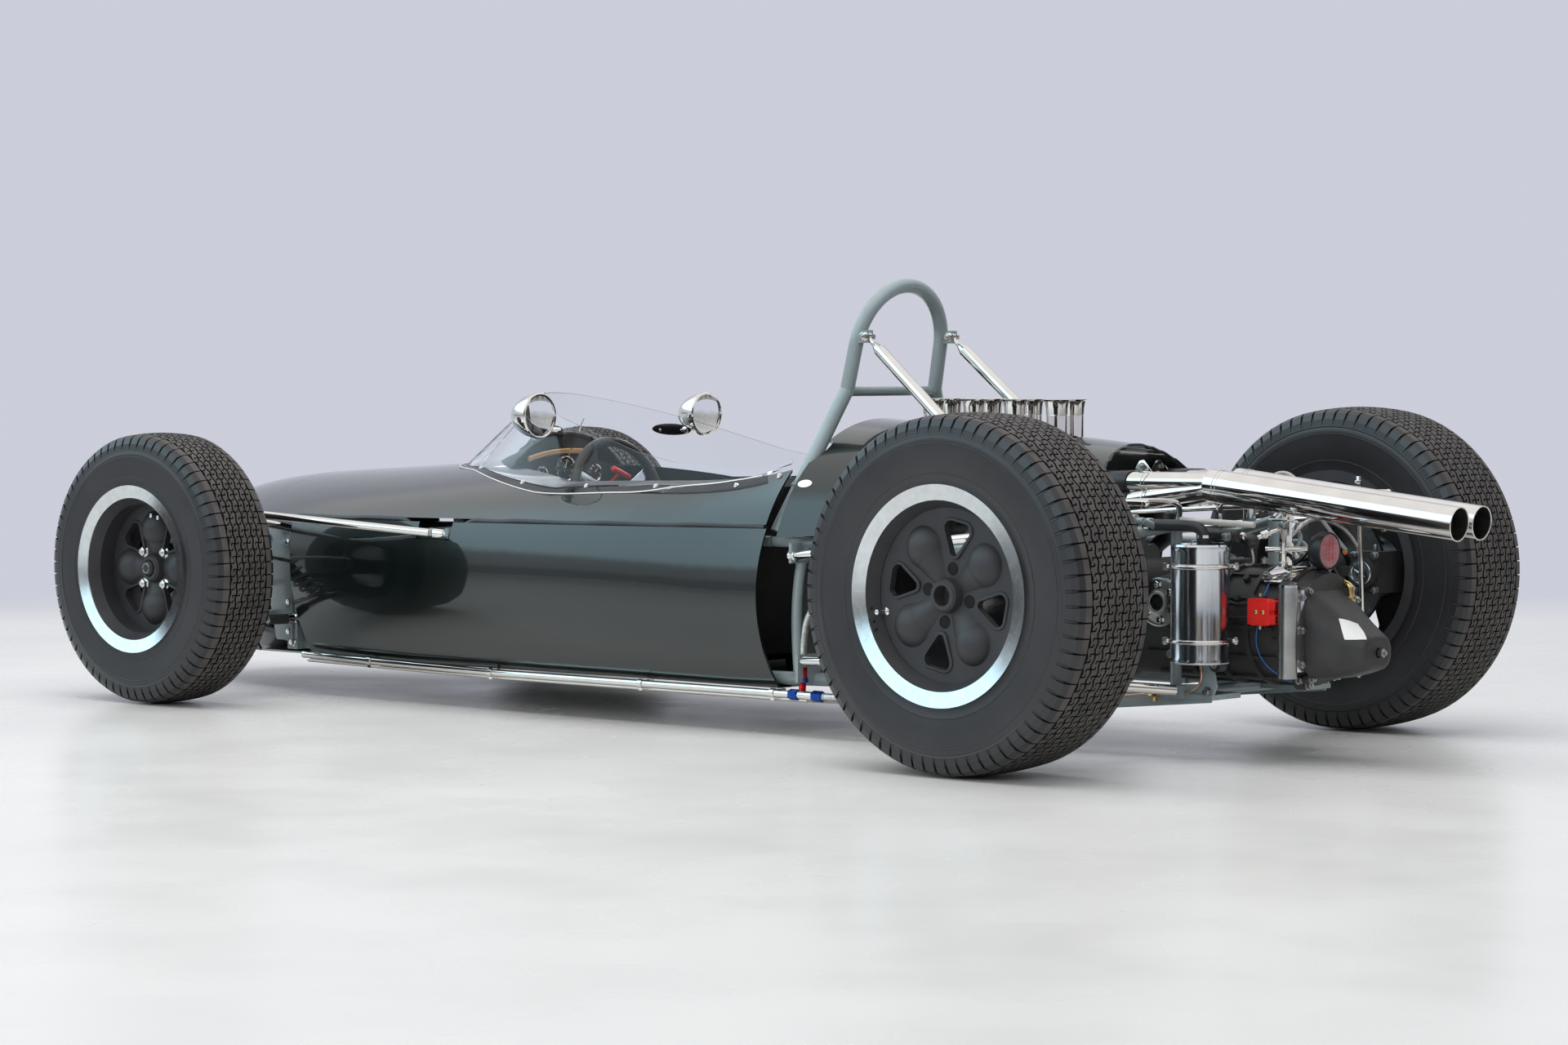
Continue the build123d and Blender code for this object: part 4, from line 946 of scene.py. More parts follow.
    def half_profile(self) -> list[Pair]:
        """The casing's outline on one side of the middle plane, from crown to bead and back inside."""
        wall = self.width / 2
        low = self.bead_seat + 0.3
        bead = self.bead_half
        floor = self.depth + 0.2
        outer = [(self.crown_radius(0) - floor, 0), (self.crown_radius(wall - 34) - floor, wall - 34),
            (self.radius - 5 - floor, wall - 17), (self.radius - 16, wall - 8), (self.radius - 27, wall - 2),
            (self.radius - 37, wall + 0.9), (self.radius - 39, wall + 1.5), (self.radius - 41, wall + 0.9)]
        top = self.rim_radius + 3
        start = self.radius - 41
        count = 14
        for k in range(1, count + 1):
            t = k / count
            bulge = math.sin(math.pi * (0.5 + 0.5 * t)) * 1.8 if t < 1 else 0
            r = start + (top - start) * t
            y = wall + 0.9 + (bead - wall - 0.9) * t ** 2.6 + bulge
            outer.append((r, y))
            if k in (2, count - 3):
                outer += [(r - 0.8, y + 0.9), (r - 1.8, y + 0.9), (r - 2.6, y)]
        outer += [(low, bead), (low, bead - 16), (low + 14, bead - 18)]
        inner_top = self.radius - 20
        for k in range(1, 7):
            t = k / 6
            outer.append((low + 14 + (inner_top - low - 14) * t, bead - 18 + math.sin(math.pi * t) * 9 +
                (wall - 8 - bead) * t))
        outer.append((inner_top, 0))
        return outer

    def carcass(self) -> Thing:
        """Spins the casing under the tread, with rounded walls and beads."""
        half = self.half_profile()
        loop = half + [(r, -y) for r, y in reversed(half[1:-1])] + [half[0]]
        obj = spun(loop, self.centre, LEFTWARD, 144)
        paint(obj, RUBBER.build())
        # The groove floor under the tread takes material 1, painted shade
        obj.data.materials.append(GROOVE_SHADE.build())
        centre = at(*self.centre)
        edge = (self.width / 2 - 8) / 1000
        for face in obj.data.polygons:
            r = math.hypot(face.center.x - centre.x, face.center.z - centre.z)
            if r > (self.radius - 20) / 1000 and abs(face.center.y - centre.y) < edge:
                face.material_index = 1
        return obj

    def build(self) -> None:
        """Joins carcass and tread and hands the tyre to its wheel."""
        name = f"{self.end}_tyre_{self.side.word}"
        deliver(f"treaded_{name}", {None: [self.carcass(), self.tread()]}, self.body, (name,))


@dataclass
class WheelTrim:
    """Valve, clips, lug nuts and centre cap of one wheel."""

    tyre: Tyre
    web_y: float
    lug_clock: float
    valve_angle: float
    valve_r: float
    valve_y: float
    lug_circle: float = 50.0
    clip_angles: tuple[float, ...] = (-9.8, -18.1, -23.5)

    def spot(self, degrees: float, radius: float, y: float) -> Place:
        """A point of the wheel from its angle, radius and distance from the car's middle."""
        x0, _, z0 = self.tyre.centre
        angle = math.radians(degrees)
        return self.tyre.side.flip((x0 + math.cos(angle) * radius, y, z0 + math.sin(angle) * radius))

    def valve(self, degrees: float, radius: float) -> list[Thing]:
        """A valve stem with its cap and foot nut."""
        y = self.valve_y
        stem = bar(self.spot(degrees, radius, y - 30), self.spot(degrees, radius, y), 3.2, sides=16)
        cap = bar(self.spot(degrees, radius, y - 12), self.spot(degrees, radius, y + 2), 5, 1.2, 16)
        foot = bar(self.spot(degrees, radius, y - 32), self.spot(degrees, radius, y - 25), 8, 1, 6)
        return [stem, cap, foot]

    def build(self) -> None:
        """Builds the trim and hands it to the wheel."""
        out = self.tyre.side.out

        def seats(sunk: float) -> Seats:
            """Seats on the lug circle, sunk below the web."""
            return [(self.spot(self.lug_clock + 90 * k, self.lug_circle, self.web_y - sunk), out) for k in range(4)]

        bright = self.valve(self.valve_angle, self.valve_r)
        if self.tyre.end == "front":
            bright += self.valve(self.valve_angle + 12, self.valve_r) + [bolts(seats(0), 17, 9, 12)]
            hub = Vector(self.spot(0, 0, self.web_y + 19))
            cap = spun([(0.01, 9), (8, 8.4), (14, 6), (17.5, 2.5), (18.6, -2), (18.6, -8)], hub, out, 40)
            groups = {CHROME: bright + [ring(hub + out * 8.2, LEFTWARD, 10.5, 0.5)], BLACK: [cap]}
        else:
            # The lug wells get a near black lip and a disc over the hole: painted shade in the deep wells
            well = [(10.6, 1.6), (11.6, 1.2), (12.2, 0), (12.2, -3), (10.6, -3), (10.6, 1.6)]
            shaded_wells = [step for place, _ in seats(0.6) for step in (spun(well, place, out, 28),
                bar(place, Vector(place) + out, 10.6, 0, 28))]
            clips = [self.spot(angle, 170.5, 722) for angle in self.clip_angles]
            clips = [block((x - 3, y - 5, z - 2), (x + 3, y + 5, z + 2), 0.8) for x, y, z in clips]
            groups = {CHROME: bright, STEEL: [bolts(seats(30), 15, 5)], BLACK: clips, GROOVE_SHADE: shaded_wells}
        deliver(f"{self.tyre.end}_wheel_trim_{self.tyre.side.word}", groups, self.tyre.body)


# Cockpit


class Surface:
    """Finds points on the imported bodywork."""

    def __init__(self, node: str) -> None:
        """Takes the node whose surface is wanted."""
        self.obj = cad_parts[node]

    def hit(self, start: Point, toward: Vector) -> Spot:
        """First point of the surface along a direction.

        Args:
            start: Start in drawing millimetres.
            toward: The direction.

        Returns:
            The point in drawing millimetres and the outward normal, or nothing.
        """
        found, place, normal, _ = self.obj.ray_cast(at(*start), toward.normalized())
        if not found:
            return None
        return Vector(from_frame(place)), normal.normalized()

    def below(self, x: float, y: float, from_z: float = 900.0) -> Spot:
        """The topmost point of the surface at this x and y."""
        return self.hit((x, y, from_z), -UP)

    def seats(self, spots: Sequence[Pair], lift: float) -> Seats:
        """Seats just above the surface at each of these x and y, on both sides."""
        found = [self.below(x, y * side.value) for side in Side for x, y in spots]
        return [(spot[0] + spot[1] * lift, spot[1]) for spot in found if spot is not None]


@dataclass
class SeamShade:
    """A black strip behind the long seam between the cowl and the side panels: painted shade that keeps the gap dark.
    """

    stations: tuple[float, ...] = tuple(range(740, 2290, 50))
    inboard: float = 10.0
    radius: float = 7.5

    def edge(self, side: Side) -> list[Place]:
        """Points just inside the top edge of one side panel.

        Args:
            side: The side of the car.

        Returns:
            The points in drawing millimetres, from the rear to the front.
        """
        panel, points = Surface(f"side_panel_{side.word}"), []
        for x in self.stations:
            found = [spot for spot in (panel.hit(side.flip((x, 460, z)), -side.out) for z in range(330, 440, 3))
                if spot is not None]
            found = [spot for spot, _ in found if abs(spot.y) > 200]
            if found:
                top = max(found, key=lambda spot: spot.z)
                points.append((x, top.y - self.inboard * side.value, top.z + 4))
        return points

    def build(self) -> None:
        """Builds both strips and hands them to the chassis."""
        # The black tubes stand in for the shade inside the seam
        strips = [tube(self.edge(side), self.radius, 2) for side in Side]
        deliver("seam_shade_strips", {BLACK: strips})


@dataclass
class ScreenSkirt:
    """The turned out foot of the clear screen on the cowl, with its bright edge and screws."""

    levels: tuple[Level, ...] = ((460, (2048, 0), (1899, 150), (1450, 292), (800, 290)),
        (700, (1724, 0), (1675, 80), (1450, 150), (800, 152)))
    width: float = 17.0
    screws: tuple[Pair, ...] = ((1813, 150), (1576, 250), (1360, 270), (1155, 270), (925, 270), (812, 262))

    @staticmethod
    def arc(start: Pair, middle: Pair, end: Pair, count: int) -> list[Pair]:
        """Points of the circle through three points, from start to end.

        Args:
            start: First point.
            middle: A point between them.
            end: Last point.
            count: Number of steps.

        Returns:
            The points without the start.
        """
        (ax, ay), (bx, by), (cx, cy) = start, middle, end
        d = 2 * (ax * (by - cy) + bx * (cy - ay) + cx * (ay - by))
        ux = ((ax**2 + ay**2) * (by - cy) + (bx**2 + by**2) * (cy - ay) + (cx**2 + cy**2) * (ay - by)) / d
        uy = ((ax**2 + ay**2) * (cx - bx) + (bx**2 + by**2) * (ax - cx) + (cx**2 + cy**2) * (bx - ax)) / d
        r = math.hypot(ax - ux, ay - uy)
        a0 = math.atan2(ay - uy, ax - ux)
        sweep = math.atan2(cy - uy, cx - ux) - a0
        turn = math.atan2(by - uy, bx - ux) - a0
        sweep = (sweep + math.pi) % TURN - math.pi
        if sweep * ((turn + math.pi) % TURN - math.pi) < 0:
            sweep -= math.copysign(TURN, sweep)
        return [(ux + r * math.cos(a0 + sweep * k / count), uy + r * math.sin(a0 + sweep * k / count))
            for k in range(1, count + 1)]

    def plan(self, level: Level) -> list[Place]:
        """The left half of the outline at one level, from the rear end to the nose."""
        z, nose, cheek, waist, rear = level
        middle = ((waist[0] + cheek[0]) / 2 + 8, (waist[1] + cheek[1]) / 2 + 20)
        points = [(rear[0] + (waist[0] - rear[0]) * k / 12, rear[1] + (waist[1] - rear[1]) * k / 12) for k in range(13)]
        points += self.arc(waist, middle, cheek, 14)
        points += self.arc(cheek, nose, (cheek[0], -cheek[1]), 16)[:8]
        return [(x, y, z) for x, y in points]

    def rows(self) -> tuple[list[Vector], list[Vector]]:
        """The strip's inner and outer edges on the cowl, in drawing millimetres, all the way round."""
        cowl = Surface("upper_cowl")
        inner: list[Vector] = []
        low, high = (self.plan(level) for level in self.levels)
        for a, b in zip(low, high):
            found = cowl.hit(b, Vector(a) - Vector(b))
            if found is not None and 450 < found[0].z < 600:
                inner.append(found[0])
        outer = []
        for k, point in enumerate(inner):
            before, after = inner[max(k - 1, 0)], inner[min(k + 1, len(inner) - 1)]
            along = (after - before).normalized()
            out = Vector((-along.y, along.x, 0)).normalized()
            if out.y < 0 or (abs(point.y) < 30 and out.x < 0):
                out = -out
            far = point + out * self.width
            found = cowl.below(far.x, far.y)
            outer.append(found[0] if found is not None and abs(found[0].z - point.z) < 14 else far)
        lift = UP * 0.8
        inner, outer = [p + lift for p in inner], [p + lift for p in outer]
        mirrored = [[Vector((p.x, -p.y, p.z)) for p in reversed(row)] for row in (inner, outer)]
        return inner + mirrored[0], outer + mirrored[1]

    def build(self) -> None:
        """Builds the strip, its edge line and the screws."""
        inner, outer = self.rows()
        strip = join([line(at(*p) for p in row) for row in (inner, outer)])
        with editing(strip):
            bpy.ops.mesh.bridge_edge_loops()
            bpy.ops.mesh.normals_make_consistent(inside=False)
        thicken(strip, 0.002, 0)
        smooth(strip, 30)
        edge = tube([p + UP * 0.4 for p in outer[::2] + outer[-1:]], 1.5, 2)
        seats = Surface("upper_cowl").seats(self.screws, 1.6)
        washers = buttons(seats, 6.2, 1)
        screws = buttons([(p + n * 0.6, n) for p, n in seats], 4.6, 3.6)
        deliver("screen_skirt", {ACRYLIC: [strip], WHITE: [edge], CHROME: [screws, washers]})


@dataclass
class Dial:
    """One round instrument: bezel, face, ticks and needle."""

    y: float
    z: float
    radius: float
    ticks: int
    needle: float
    face_x: float = 1692.0

    def spoke(self, degrees: float, start: float, end: float, width: float) -> Thing:
        """A thin bar on the face, from one radius to another."""
        c, s = math.cos(math.radians(degrees)), math.sin(math.radians(degrees))
        x = self.face_x - 1.6
        return bar((x, self.y + c * start, self.z + s * start), (x, self.y + c * end, self.z + s * end), width, 0, 6)

    def parts(self) -> Groups:
        """The dial's parts by finish."""
        x, y, z, r = self.face_x, self.y, self.z, self.radius
        bezel = spun([(r - 5, 0.5), (r - 4.5, 4.5), (r - 2, 6), (r + 1, 5), (r + 2, 0), (r - 5, 0.5)], (x, y, z),
            -FORWARD, 44)
        face = bar((x + 0.5, y, z), (x - 1.2, y, z), r - 4.2, 0, 40)
        step = 270 / (self.ticks - 1)
        marks = [self.spoke(-45 + step * k, r * 0.66, r * 0.8, 0.5) for k in range(self.ticks)]
        marks.append(self.spoke(self.needle, -r * 0.16, r * 0.62, 0.7))
        boss = bar((x - 1.2, y, z), (x - 3.4, y, z), 2.6, 0.5, 16)
        return {CHROME: [bezel], DIAL: [face, boss], MARKING: marks}


@dataclass
class CockpitKit:
    """Dials, switches, the trim on the hood's edge and the red pull."""

    dials: tuple[Dial, ...] = (Dial(8, 517, 29, 9, 110), Dial(84, 505, 19, 7, 60), Dial(-85, 506, 20, 7, 130),
        Dial(50, 470, 18, 5, 80), Dial(-50, 470, 18, 5, 45))
    tan_line: tuple[Place, ...] = ((1691, 122, 541), (1691, 92, 549), (1690, 50, 555), (1690, 8, 557.5),
        (1690, -30, 557), (1691, -48, 556))
    hood_centre_z: float = 364.0
    hood_radius: float = 236.0

    def hood_edge(self, start: float, end: float, radius: float, x: float) -> list[Place]:
        """Points along the hood's arch between two angles from straight up."""
        count = 16
        points = []
        for k in range(count + 1):
            angle = math.radians(start + (end - start) * k / count)
            points.append((x, math.sin(angle) * radius, self.hood_centre_z + math.cos(angle) * radius))
        return points

    def build(self) -> None:
        groups: Groups = {CHROME: [], DIAL: [], MARKING: [], BLACK: []}
        for dial in self.dials:
            for finish, parts in dial.parts().items():
                groups[finish] += parts
        groups[BLACK].append(tube(self.hood_edge(-40, 40, self.hood_radius - 2, 1690), 3.4, 2))
        groups[TAN] = [tube([(x - 2, y, z + dz) for x, y, z in self.tan_line], 4.2, 3) for dz in (-2.4, 2.4)]
        groups[RED_PLASTIC] = [bar((1640, -92, 518), (1640, -146, 496), 6.5, 2, 20),
            bar((1640, -118, 507), (1692, -118, 472), 4, 0.5, 16)]
        for y in (-34, -12, 12, 34):
            groups[CHROME] += [bar((1700, y, 462), (1692, y, 462), 5.5, 0.8, 6),
                bar((1694, y, 462), (1680, y, 467), 1.6, 0.4, 10, 2.6)]
        deliver("cockpit_instruments", groups)


@dataclass
class SteeringWheel:
    """A leather rimmed wheel with three sprung spokes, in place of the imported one."""

    centre: Place = (1530, 0, 452)
    tilt: float = 14.0
    rim_r: float = 132.0
    grip_r: float = 11.0

    @property
    def axis(self) -> Vector:
        """The direction forward along the column."""
        tilt = math.radians(self.tilt)
        return Vector((math.cos(tilt), 0, -math.sin(tilt)))

    def spot(self, degrees: float, radius: float, forward: float = 0.0) -> Place:
        """A point of the wheel: angle from its top, radius, and distance forward along the column."""
        top = LEFTWARD.cross(-self.axis).normalized()
        angle = math.radians(degrees)
        out = (top * math.cos(angle) + LEFTWARD * math.sin(angle)) * radius
        return tuple(Vector(self.centre) + out + self.axis * forward)

    def spokes(self) -> list[Thing]:
        """Three flat spokes."""
        made = []
        for degrees in (60, -60, 180):
            side = Vector(self.spot(degrees + 90, 1)) - Vector(self.centre)
            inner, outer = Vector(self.spot(degrees, 14, 3)), Vector(self.spot(degrees, self.rim_r - 4, 1))
            corners = [inner + side * 13, outer + side * 10, outer - side * 10, inner - side * 13]
            made.append(plate(corners, self.axis * 3, 0.8))
        return made

    def build(self) -> None:
        """Builds the wheel and hands it to the steering shaft."""
        rim = ring(self.centre, self.axis, self.rim_r, self.grip_r, 72)
        stitches = [ring(self.centre, self.axis, self.rim_r - self.grip_r * 0.98, 0.8, 72)]
        bosses = [bar(self.spot(0, 0, -8), self.spot(0, 0, 16), 30, 2, 40)]
        horn = [spun([(0.01, 6), (10, 5.5), (17, 3), (20, 0), (20, -4)], self.spot(0, 0, -8), -self.axis, 36)]
        bolts = buttons([(self.spot(60 * k, 25, -8), -self.axis) for k in range(6)], 3.4, 2.4)
        stem = bar(self.spot(0, 0, 10), self.spot(0, 0, 70), 11, 0.6)
        deliver("steering_wheel_trimmed", {LEATHER: [rim], BLACK: horn + stitches, ALLOY: self.spokes() + bosses,
            STEEL: [stem], CHROME: [bolts]}, "steering_shaft", stands_for=("steering_wheel",))


@dataclass
class Mirrors:
    """Two bullet mirrors on short necks from oval feet on the screen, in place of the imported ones."""

    centre: Place = (1512, 262, 640)
    radius: float = 48.0
    foot: Place = (1552, 186.5, 603)
    foot_half: Pair = (52, 15)
    gaze: Vector = field(default_factory=lambda: Vector((-1, 0, -0.055)))

    def shell(self, place: Point) -> Thing:
        """The turned shell behind the glass."""
        r = self.radius
        return spun([(r - 2, -0.5), (r, 2), (r, 9), (r - 1.6, 20), (r - 5.5, 34), (r - 12, 48), (r - 20, 60),
            (r - 29, 70), (r - 38, 77), (0.01, 82)], place, FORWARD, 56)

    def build(self) -> None:
        """Builds both mirrors."""
        glass, chrome, feet = [], [], []
        r = self.radius
        screen = Surface("windscreen")
        for side in Side:
            place = side.flip(self.centre)
            glass.append(spun([(0.01, 1.2), (r * 0.4, 1), (r * 0.75, 0.5), (r - 4, -0.2)], place, self.gaze, 56))
            chrome += [spun([(r - 4.6, 0), (r - 4, 2.6), (r - 1, 3.8), (r + 1.4, 1), (r + 1.4, -6), (r - 1, -7)], place,
                -FORWARD, 56), self.shell(place)]
            x, y, z = side.flip(self.foot)
            found = screen.hit((x, y + 60 * side.value, z + 34), Vector((0, -60 * side.value, -34)))
            if found is None:
                continue
            spot, normal = found
            spot = spot - normal * 1.5
            feet.append(pad(spot, normal, (*self.foot_half, 5)))
            along = (upright_on(normal) @ FORWARD).normalized()
            along = along if along.x > 0 else -along
            seats = [(spot + along * step + normal * hand * 4.4, normal * hand) for step in (-28, 28)
                for hand in (1, -1)]
            chrome.append(buttons(seats, 3.6, 2.2))
            start = spot - along * 36
            end = Vector((self.centre[0] + 18, (self.centre[1] - 8) * side.value, self.centre[2] - 34))
            chrome += [bar(start, end, 8, 1, 28, 14), ball(start, 8.6)]
        deliver("bullet_mirrors", {MIRROR: glass, CHROME: chrome, BLACK: feet}, stands_for=("mirrors",))


@dataclass
class HoopTrim:
    """Collars, stay bolts, weld beads and the blank plate beside the roll hoop."""

    knee_x: float = 737.0
    lean: float = 0.21

    def point(self, half_width: float, z: float) -> Place:
        """A point of the leaning hoop."""
        return self.knee_x - self.lean * (z - 700), half_width, z

    def build(self) -> None:
        """Builds the hoop's trim."""
        collars, heads, welds = [], [], []
        for side in Side:
            low, high = Vector(side.flip(self.point(285, 410.3))), Vector(side.flip(self.point(139, 700)))
            along = (high - low).normalized()
            place = low + along * 104
            collars += [spun([(15.2, -4), (17, -3.4), (17.4, 0), (17, 3.4), (15.2, 4)], place, along, 36),
                bar(place + UP * 17, place + UP * 23 + Vector((0, 4 * side.value, 0)), 2.6)]
            x, y, z = self.point(134, 808)
            heads.append(bolts([(side.flip((x - 27, y + out * 8.6, z)), side.out * out) for out in (1, -1)], 15, 7, 10))
            welds.append(ring(side.flip(self.point(129, 696)), LEFTWARD, 10.6, 1.6))
        place, normal = Surface("engine_cover").below(736, 270)
        plates = [pad(place + normal * 0.6, normal, (17, 10, 1.2))]
        deliver("hoop_trim", {CHROME: heads, FRAME_PAINT: collars + welds, WHITE: plates})


@dataclass
class IntakeTrim:
    """Clamps, injectors, fuel lines and linkage round the eight intakes."""

    bank_y: float = 41.0
    first_x: float = 270.0
    pitch: float = 106.0
    offset: float = 22.0
    foot_z: float = 500.0

    def bores(self) -> list[Pair]:
        """Where the intakes stand."""
        return [(self.first_x + shift + k * self.pitch, bank * self.bank_y) for bank,
            shift in ((1, 0), (-1, self.offset)) for k in range(4)]

    def build(self) -> None:
        """Builds the intake trim."""
        bright, black, blue, brass = [], [], [], []
        for x, y in self.bores():
            hand = 1 if y > 0 else -1
            black.append(spun([(21, 4), (24.5, 5), (24.5, 34), (21, 35)], (x, y, self.foot_z), UP, 32))
            for z in (12, 27):
                bright.append(spun([(24.6, z - 3), (26, z - 3), (26, z + 3), (24.6, z + 3)], (x, y, self.foot_z), UP,
                    32))
            hose = ((14, 42, 540), (16, 50, 545), (30, 48, 530), (46, 36, 512), (14, 20, 528), (14, 36, 536),
                (14, 41, 539.5))
            hose = [(x + ahead, y + hand * away, z) for ahead, away, z in hose]
            brass.append(bar(hose[4], hose[0], 5, 1, 12))
            black.append(tube(hose[:4], 2.6, 2))
            bright += [bar(hose[5], hose[6], 7, 0.8, 6), spun([(21.4, -30), (22.2, -16), (23.4, -8), (25.4, -3.2),
                (29, -0.8), (29.8, 0.2), (29, 1), (25, 0), (22, -4), (20.4, -12), (20, -30), (21.4, -30)], (x, y, 681),
                UP, 40)]
        for hand in (1, -1):
            bright.append(bar((240, hand * 78, 488), (650, hand * 78, 488), 4, 0.6, 16))
            blue.append(bar((236, hand * 60, 508), (640, hand * 60, 508), 6.5, 1.2, 20))
        bright.append(bar((440, -78, 488), (440, 78, 488), 4, 0.6, 16))
        deliver("intake_trim", {CHROME: bright, BLACK: black, ALLOY: blue, BRASS: brass})


# Engine, exhausts and gearbox


@dataclass
class EngineDress:
    """Cam cover bolts, plug leads, port flanges and a front pump on the plain engine."""

    front_x: float = 690.0
    rear_x: float = 185.0
    head_y: float = 104.0
    head_z: float = 330.0
    head_height: float = 164.0
    last_bore_x: float = 270.0
    pitch: float = 106.0

    def on_head(self, side: Side, x: float, across: float, up: float) -> Place:
        """A point of a cylinder head, across and up in the head's own leaning frame."""
        c = math.sqrt(0.5)
        y = self.head_y + across * c + up * c
        z = self.head_z - across * c + up * c
        return side.flip((x, y, z))

    def build(self) -> None:
        """Builds the engine's trim."""
        heads, flanges, leads, caps = [], [], [], []
        mid_x = (self.front_x + self.rear_x) / 2
        for side in Side:
            out = Vector(side.flip((0, 1, 1))).normalized()
            port = Vector(side.flip((0, 1, -1))).normalized()
            top = self.head_height / 2
            seats = [(self.on_head(side, x, across, top + 22.5), out) for across in (-32, 32)
                for x in range(int(self.rear_x) + 30, int(self.front_x) - 20, 62)]
            heads.append(bolts(seats, 9, 6, 7))
            leads.append(block((self.rear_x + 24, side.value * 96 - 8, 452), (self.front_x - 24, side.value * 96 + 8,
                462), 3))
            for k in range(4):
                x = self.last_bore_x + k * self.pitch
                place = Vector(self.on_head(side, x, 63.5, 24))
                flanges.append(bar(place, place + port * 8, 29, 1, 32))
                nut_seats = [(place + port * 8 + Vector((dx, 0, 0)), port) for dx in (-23, 23)]
                heads.append(bolts(nut_seats, 10, 7, 7))
                well = self.on_head(side, x, 0, top + 2)
                caps.append(bar(well, Vector(well) + out * 20, 8, 2, 16, 6.5))
                tray = (x, side.value * 92, 462)
                high = Vector(well) + out * 22
                leads.append(tube([high, high + out * 14, (x + 8, side.value * 118, 478), tray], 3.4, 2))
        pump = [bar((self.front_x, y, z), (self.front_x + long, y, z), radius, bevel, sides)
            for y, z, long, radius, bevel, sides in ((0, 214, 34, 62, 4, 48), (52, 286, 26, 30, 3, 32),
            (-52, 286, 26, 30, 3, 32))]
        ring = [((self.front_x + 34, math.cos(a) * 52, 214 + math.sin(a) * 52), FORWARD)
            for a in (TURN * k / 8 for k in range(8))]
        heads.append(bolts(ring, 9, 5, 6))
        sump = [block((self.rear_x + 6, -104, 128), (self.front_x - 6, 104, 134), 1.5)]
        row = [((x, side.value * 101, 131), side.out) for side in Side for x in range(int(mid_x) - 220,
            int(mid_x) + 221, 44)]
        heads.append(buttons(row, 4.5, 4.5))
        filters = [bar((470, 100, 190), (470, 158, 190), 38, 5, 36), bar((470, 158, 190), (470, 166, 190), 14, 1, 6)]
        deliver("engine_dress", {STEEL: heads, ENGINE_ALLOY: pump + sump, ALLOY: flanges, HOSE: leads,
            BLACK: caps + filters})


@dataclass
class ExhaustTrim:
    """Sleeves, seams, lugs and rolled tips of the two exhausts."""

    bundle: tuple[Pair, ...] = ((118, 524), (118, 488), (80, 524), (80, 488))
    top: Place = (-108, 44, 519)
    tip: Place = (-660, 38, 459)
    radius: float = 32.0

    def build(self) -> None:
        """Builds the trim of both exhausts."""
        sleeves, bright, heads = [], [], []
        for side in Side:
            for y, z in self.bundle:
                place = side.flip((27, y, z))
                sleeves.append(spun([(18, 0), (21.2, 0), (22, 3), (22, 54), (21.2, 57), (18, 57)], place, FORWARD, 32))
                bright.append(ring(side.flip((-6, y * 0.97 - 1, z)), FORWARD, 20.2, 1, 36))
            top, tip = Vector(side.flip(self.top)), Vector(side.flip(self.tip))
            along = (tip - top).normalized()
            for step, minor in ((22, 1), (30, 0.6)):
                bright.append(ring(top + along * step, along, self.radius + 0.1, minor, 56))
            bright.append(ring(tip - along * 0.6, along, self.radius - 0.7, 1.1, 56))
            heads.append(spun([(29.9, -150), (29.9, -1.5), (30.6, -1.5), (30.6, -150), (29.9, -150)], tip, along, 56))
            bright.append(bar(side.flip((2, 150, 468)), side.flip((-199, 150, 481)), 5, 0.8, 16))
        for x, y, z in ((20, 90, 541), (113, -90, 538)):
            flat = [(x - 26, y, z), (x + 24, y, z), (x + 7, y, z + 24), (x - 3, y, z + 26)]
            bright.append(plate(flat, (0, 3, 0), 0.8))
            heads.append(bolts([((x, y + 3, z + 12), LEFTWARD), ((x, y, z + 12), -LEFTWARD)], 13, 7, 9))
        saddle = [(-212, 20, 484), (-168, 20, 486), (-168, -20, 486), (-212, -20, 484)]
        bright.append(plate(saddle, (0, 0, -4), 1))
        heads.append(bolts([((-190, y, 480), -UP) for y in (-10, 10)], 12, 7, 9))
        deliver("exhaust_trim", {BLACK: sleeves, CHROME: bright, STEEL: heads})


@dataclass
class CoverLip:
    """The rolled lip round the open tail edge of the engine cover, and its fasteners."""

    half_width: float = 150.0
    fasteners: tuple[Pair, ...] = ((180, 178), (330, 226), (480, 262), (640, 288))

    def build(self) -> None:
        """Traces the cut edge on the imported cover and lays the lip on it."""
        cover = Surface("engine_cover")
        points = []
        for k in range(33):
            y = self.half_width * (1 - 2 * k / 32)
            found = [spot for spot in (cover.below(x, y * 0.985, 700) for x in range(80, 120, 4)) if spot is not None]
            points += [found[0][0] - UP * 1.8] if found else []
        lip = tube(points, 3.2, 3)
        seats = cover.seats(self.fasteners, 0.2)
        rings = buttons(seats, 8.5, 1.6)
        heads = buttons(seats, 5, 3)
        deliver("cover_lip", {PAINT: [lip], STEEL: [rings], CHROME: [heads]})


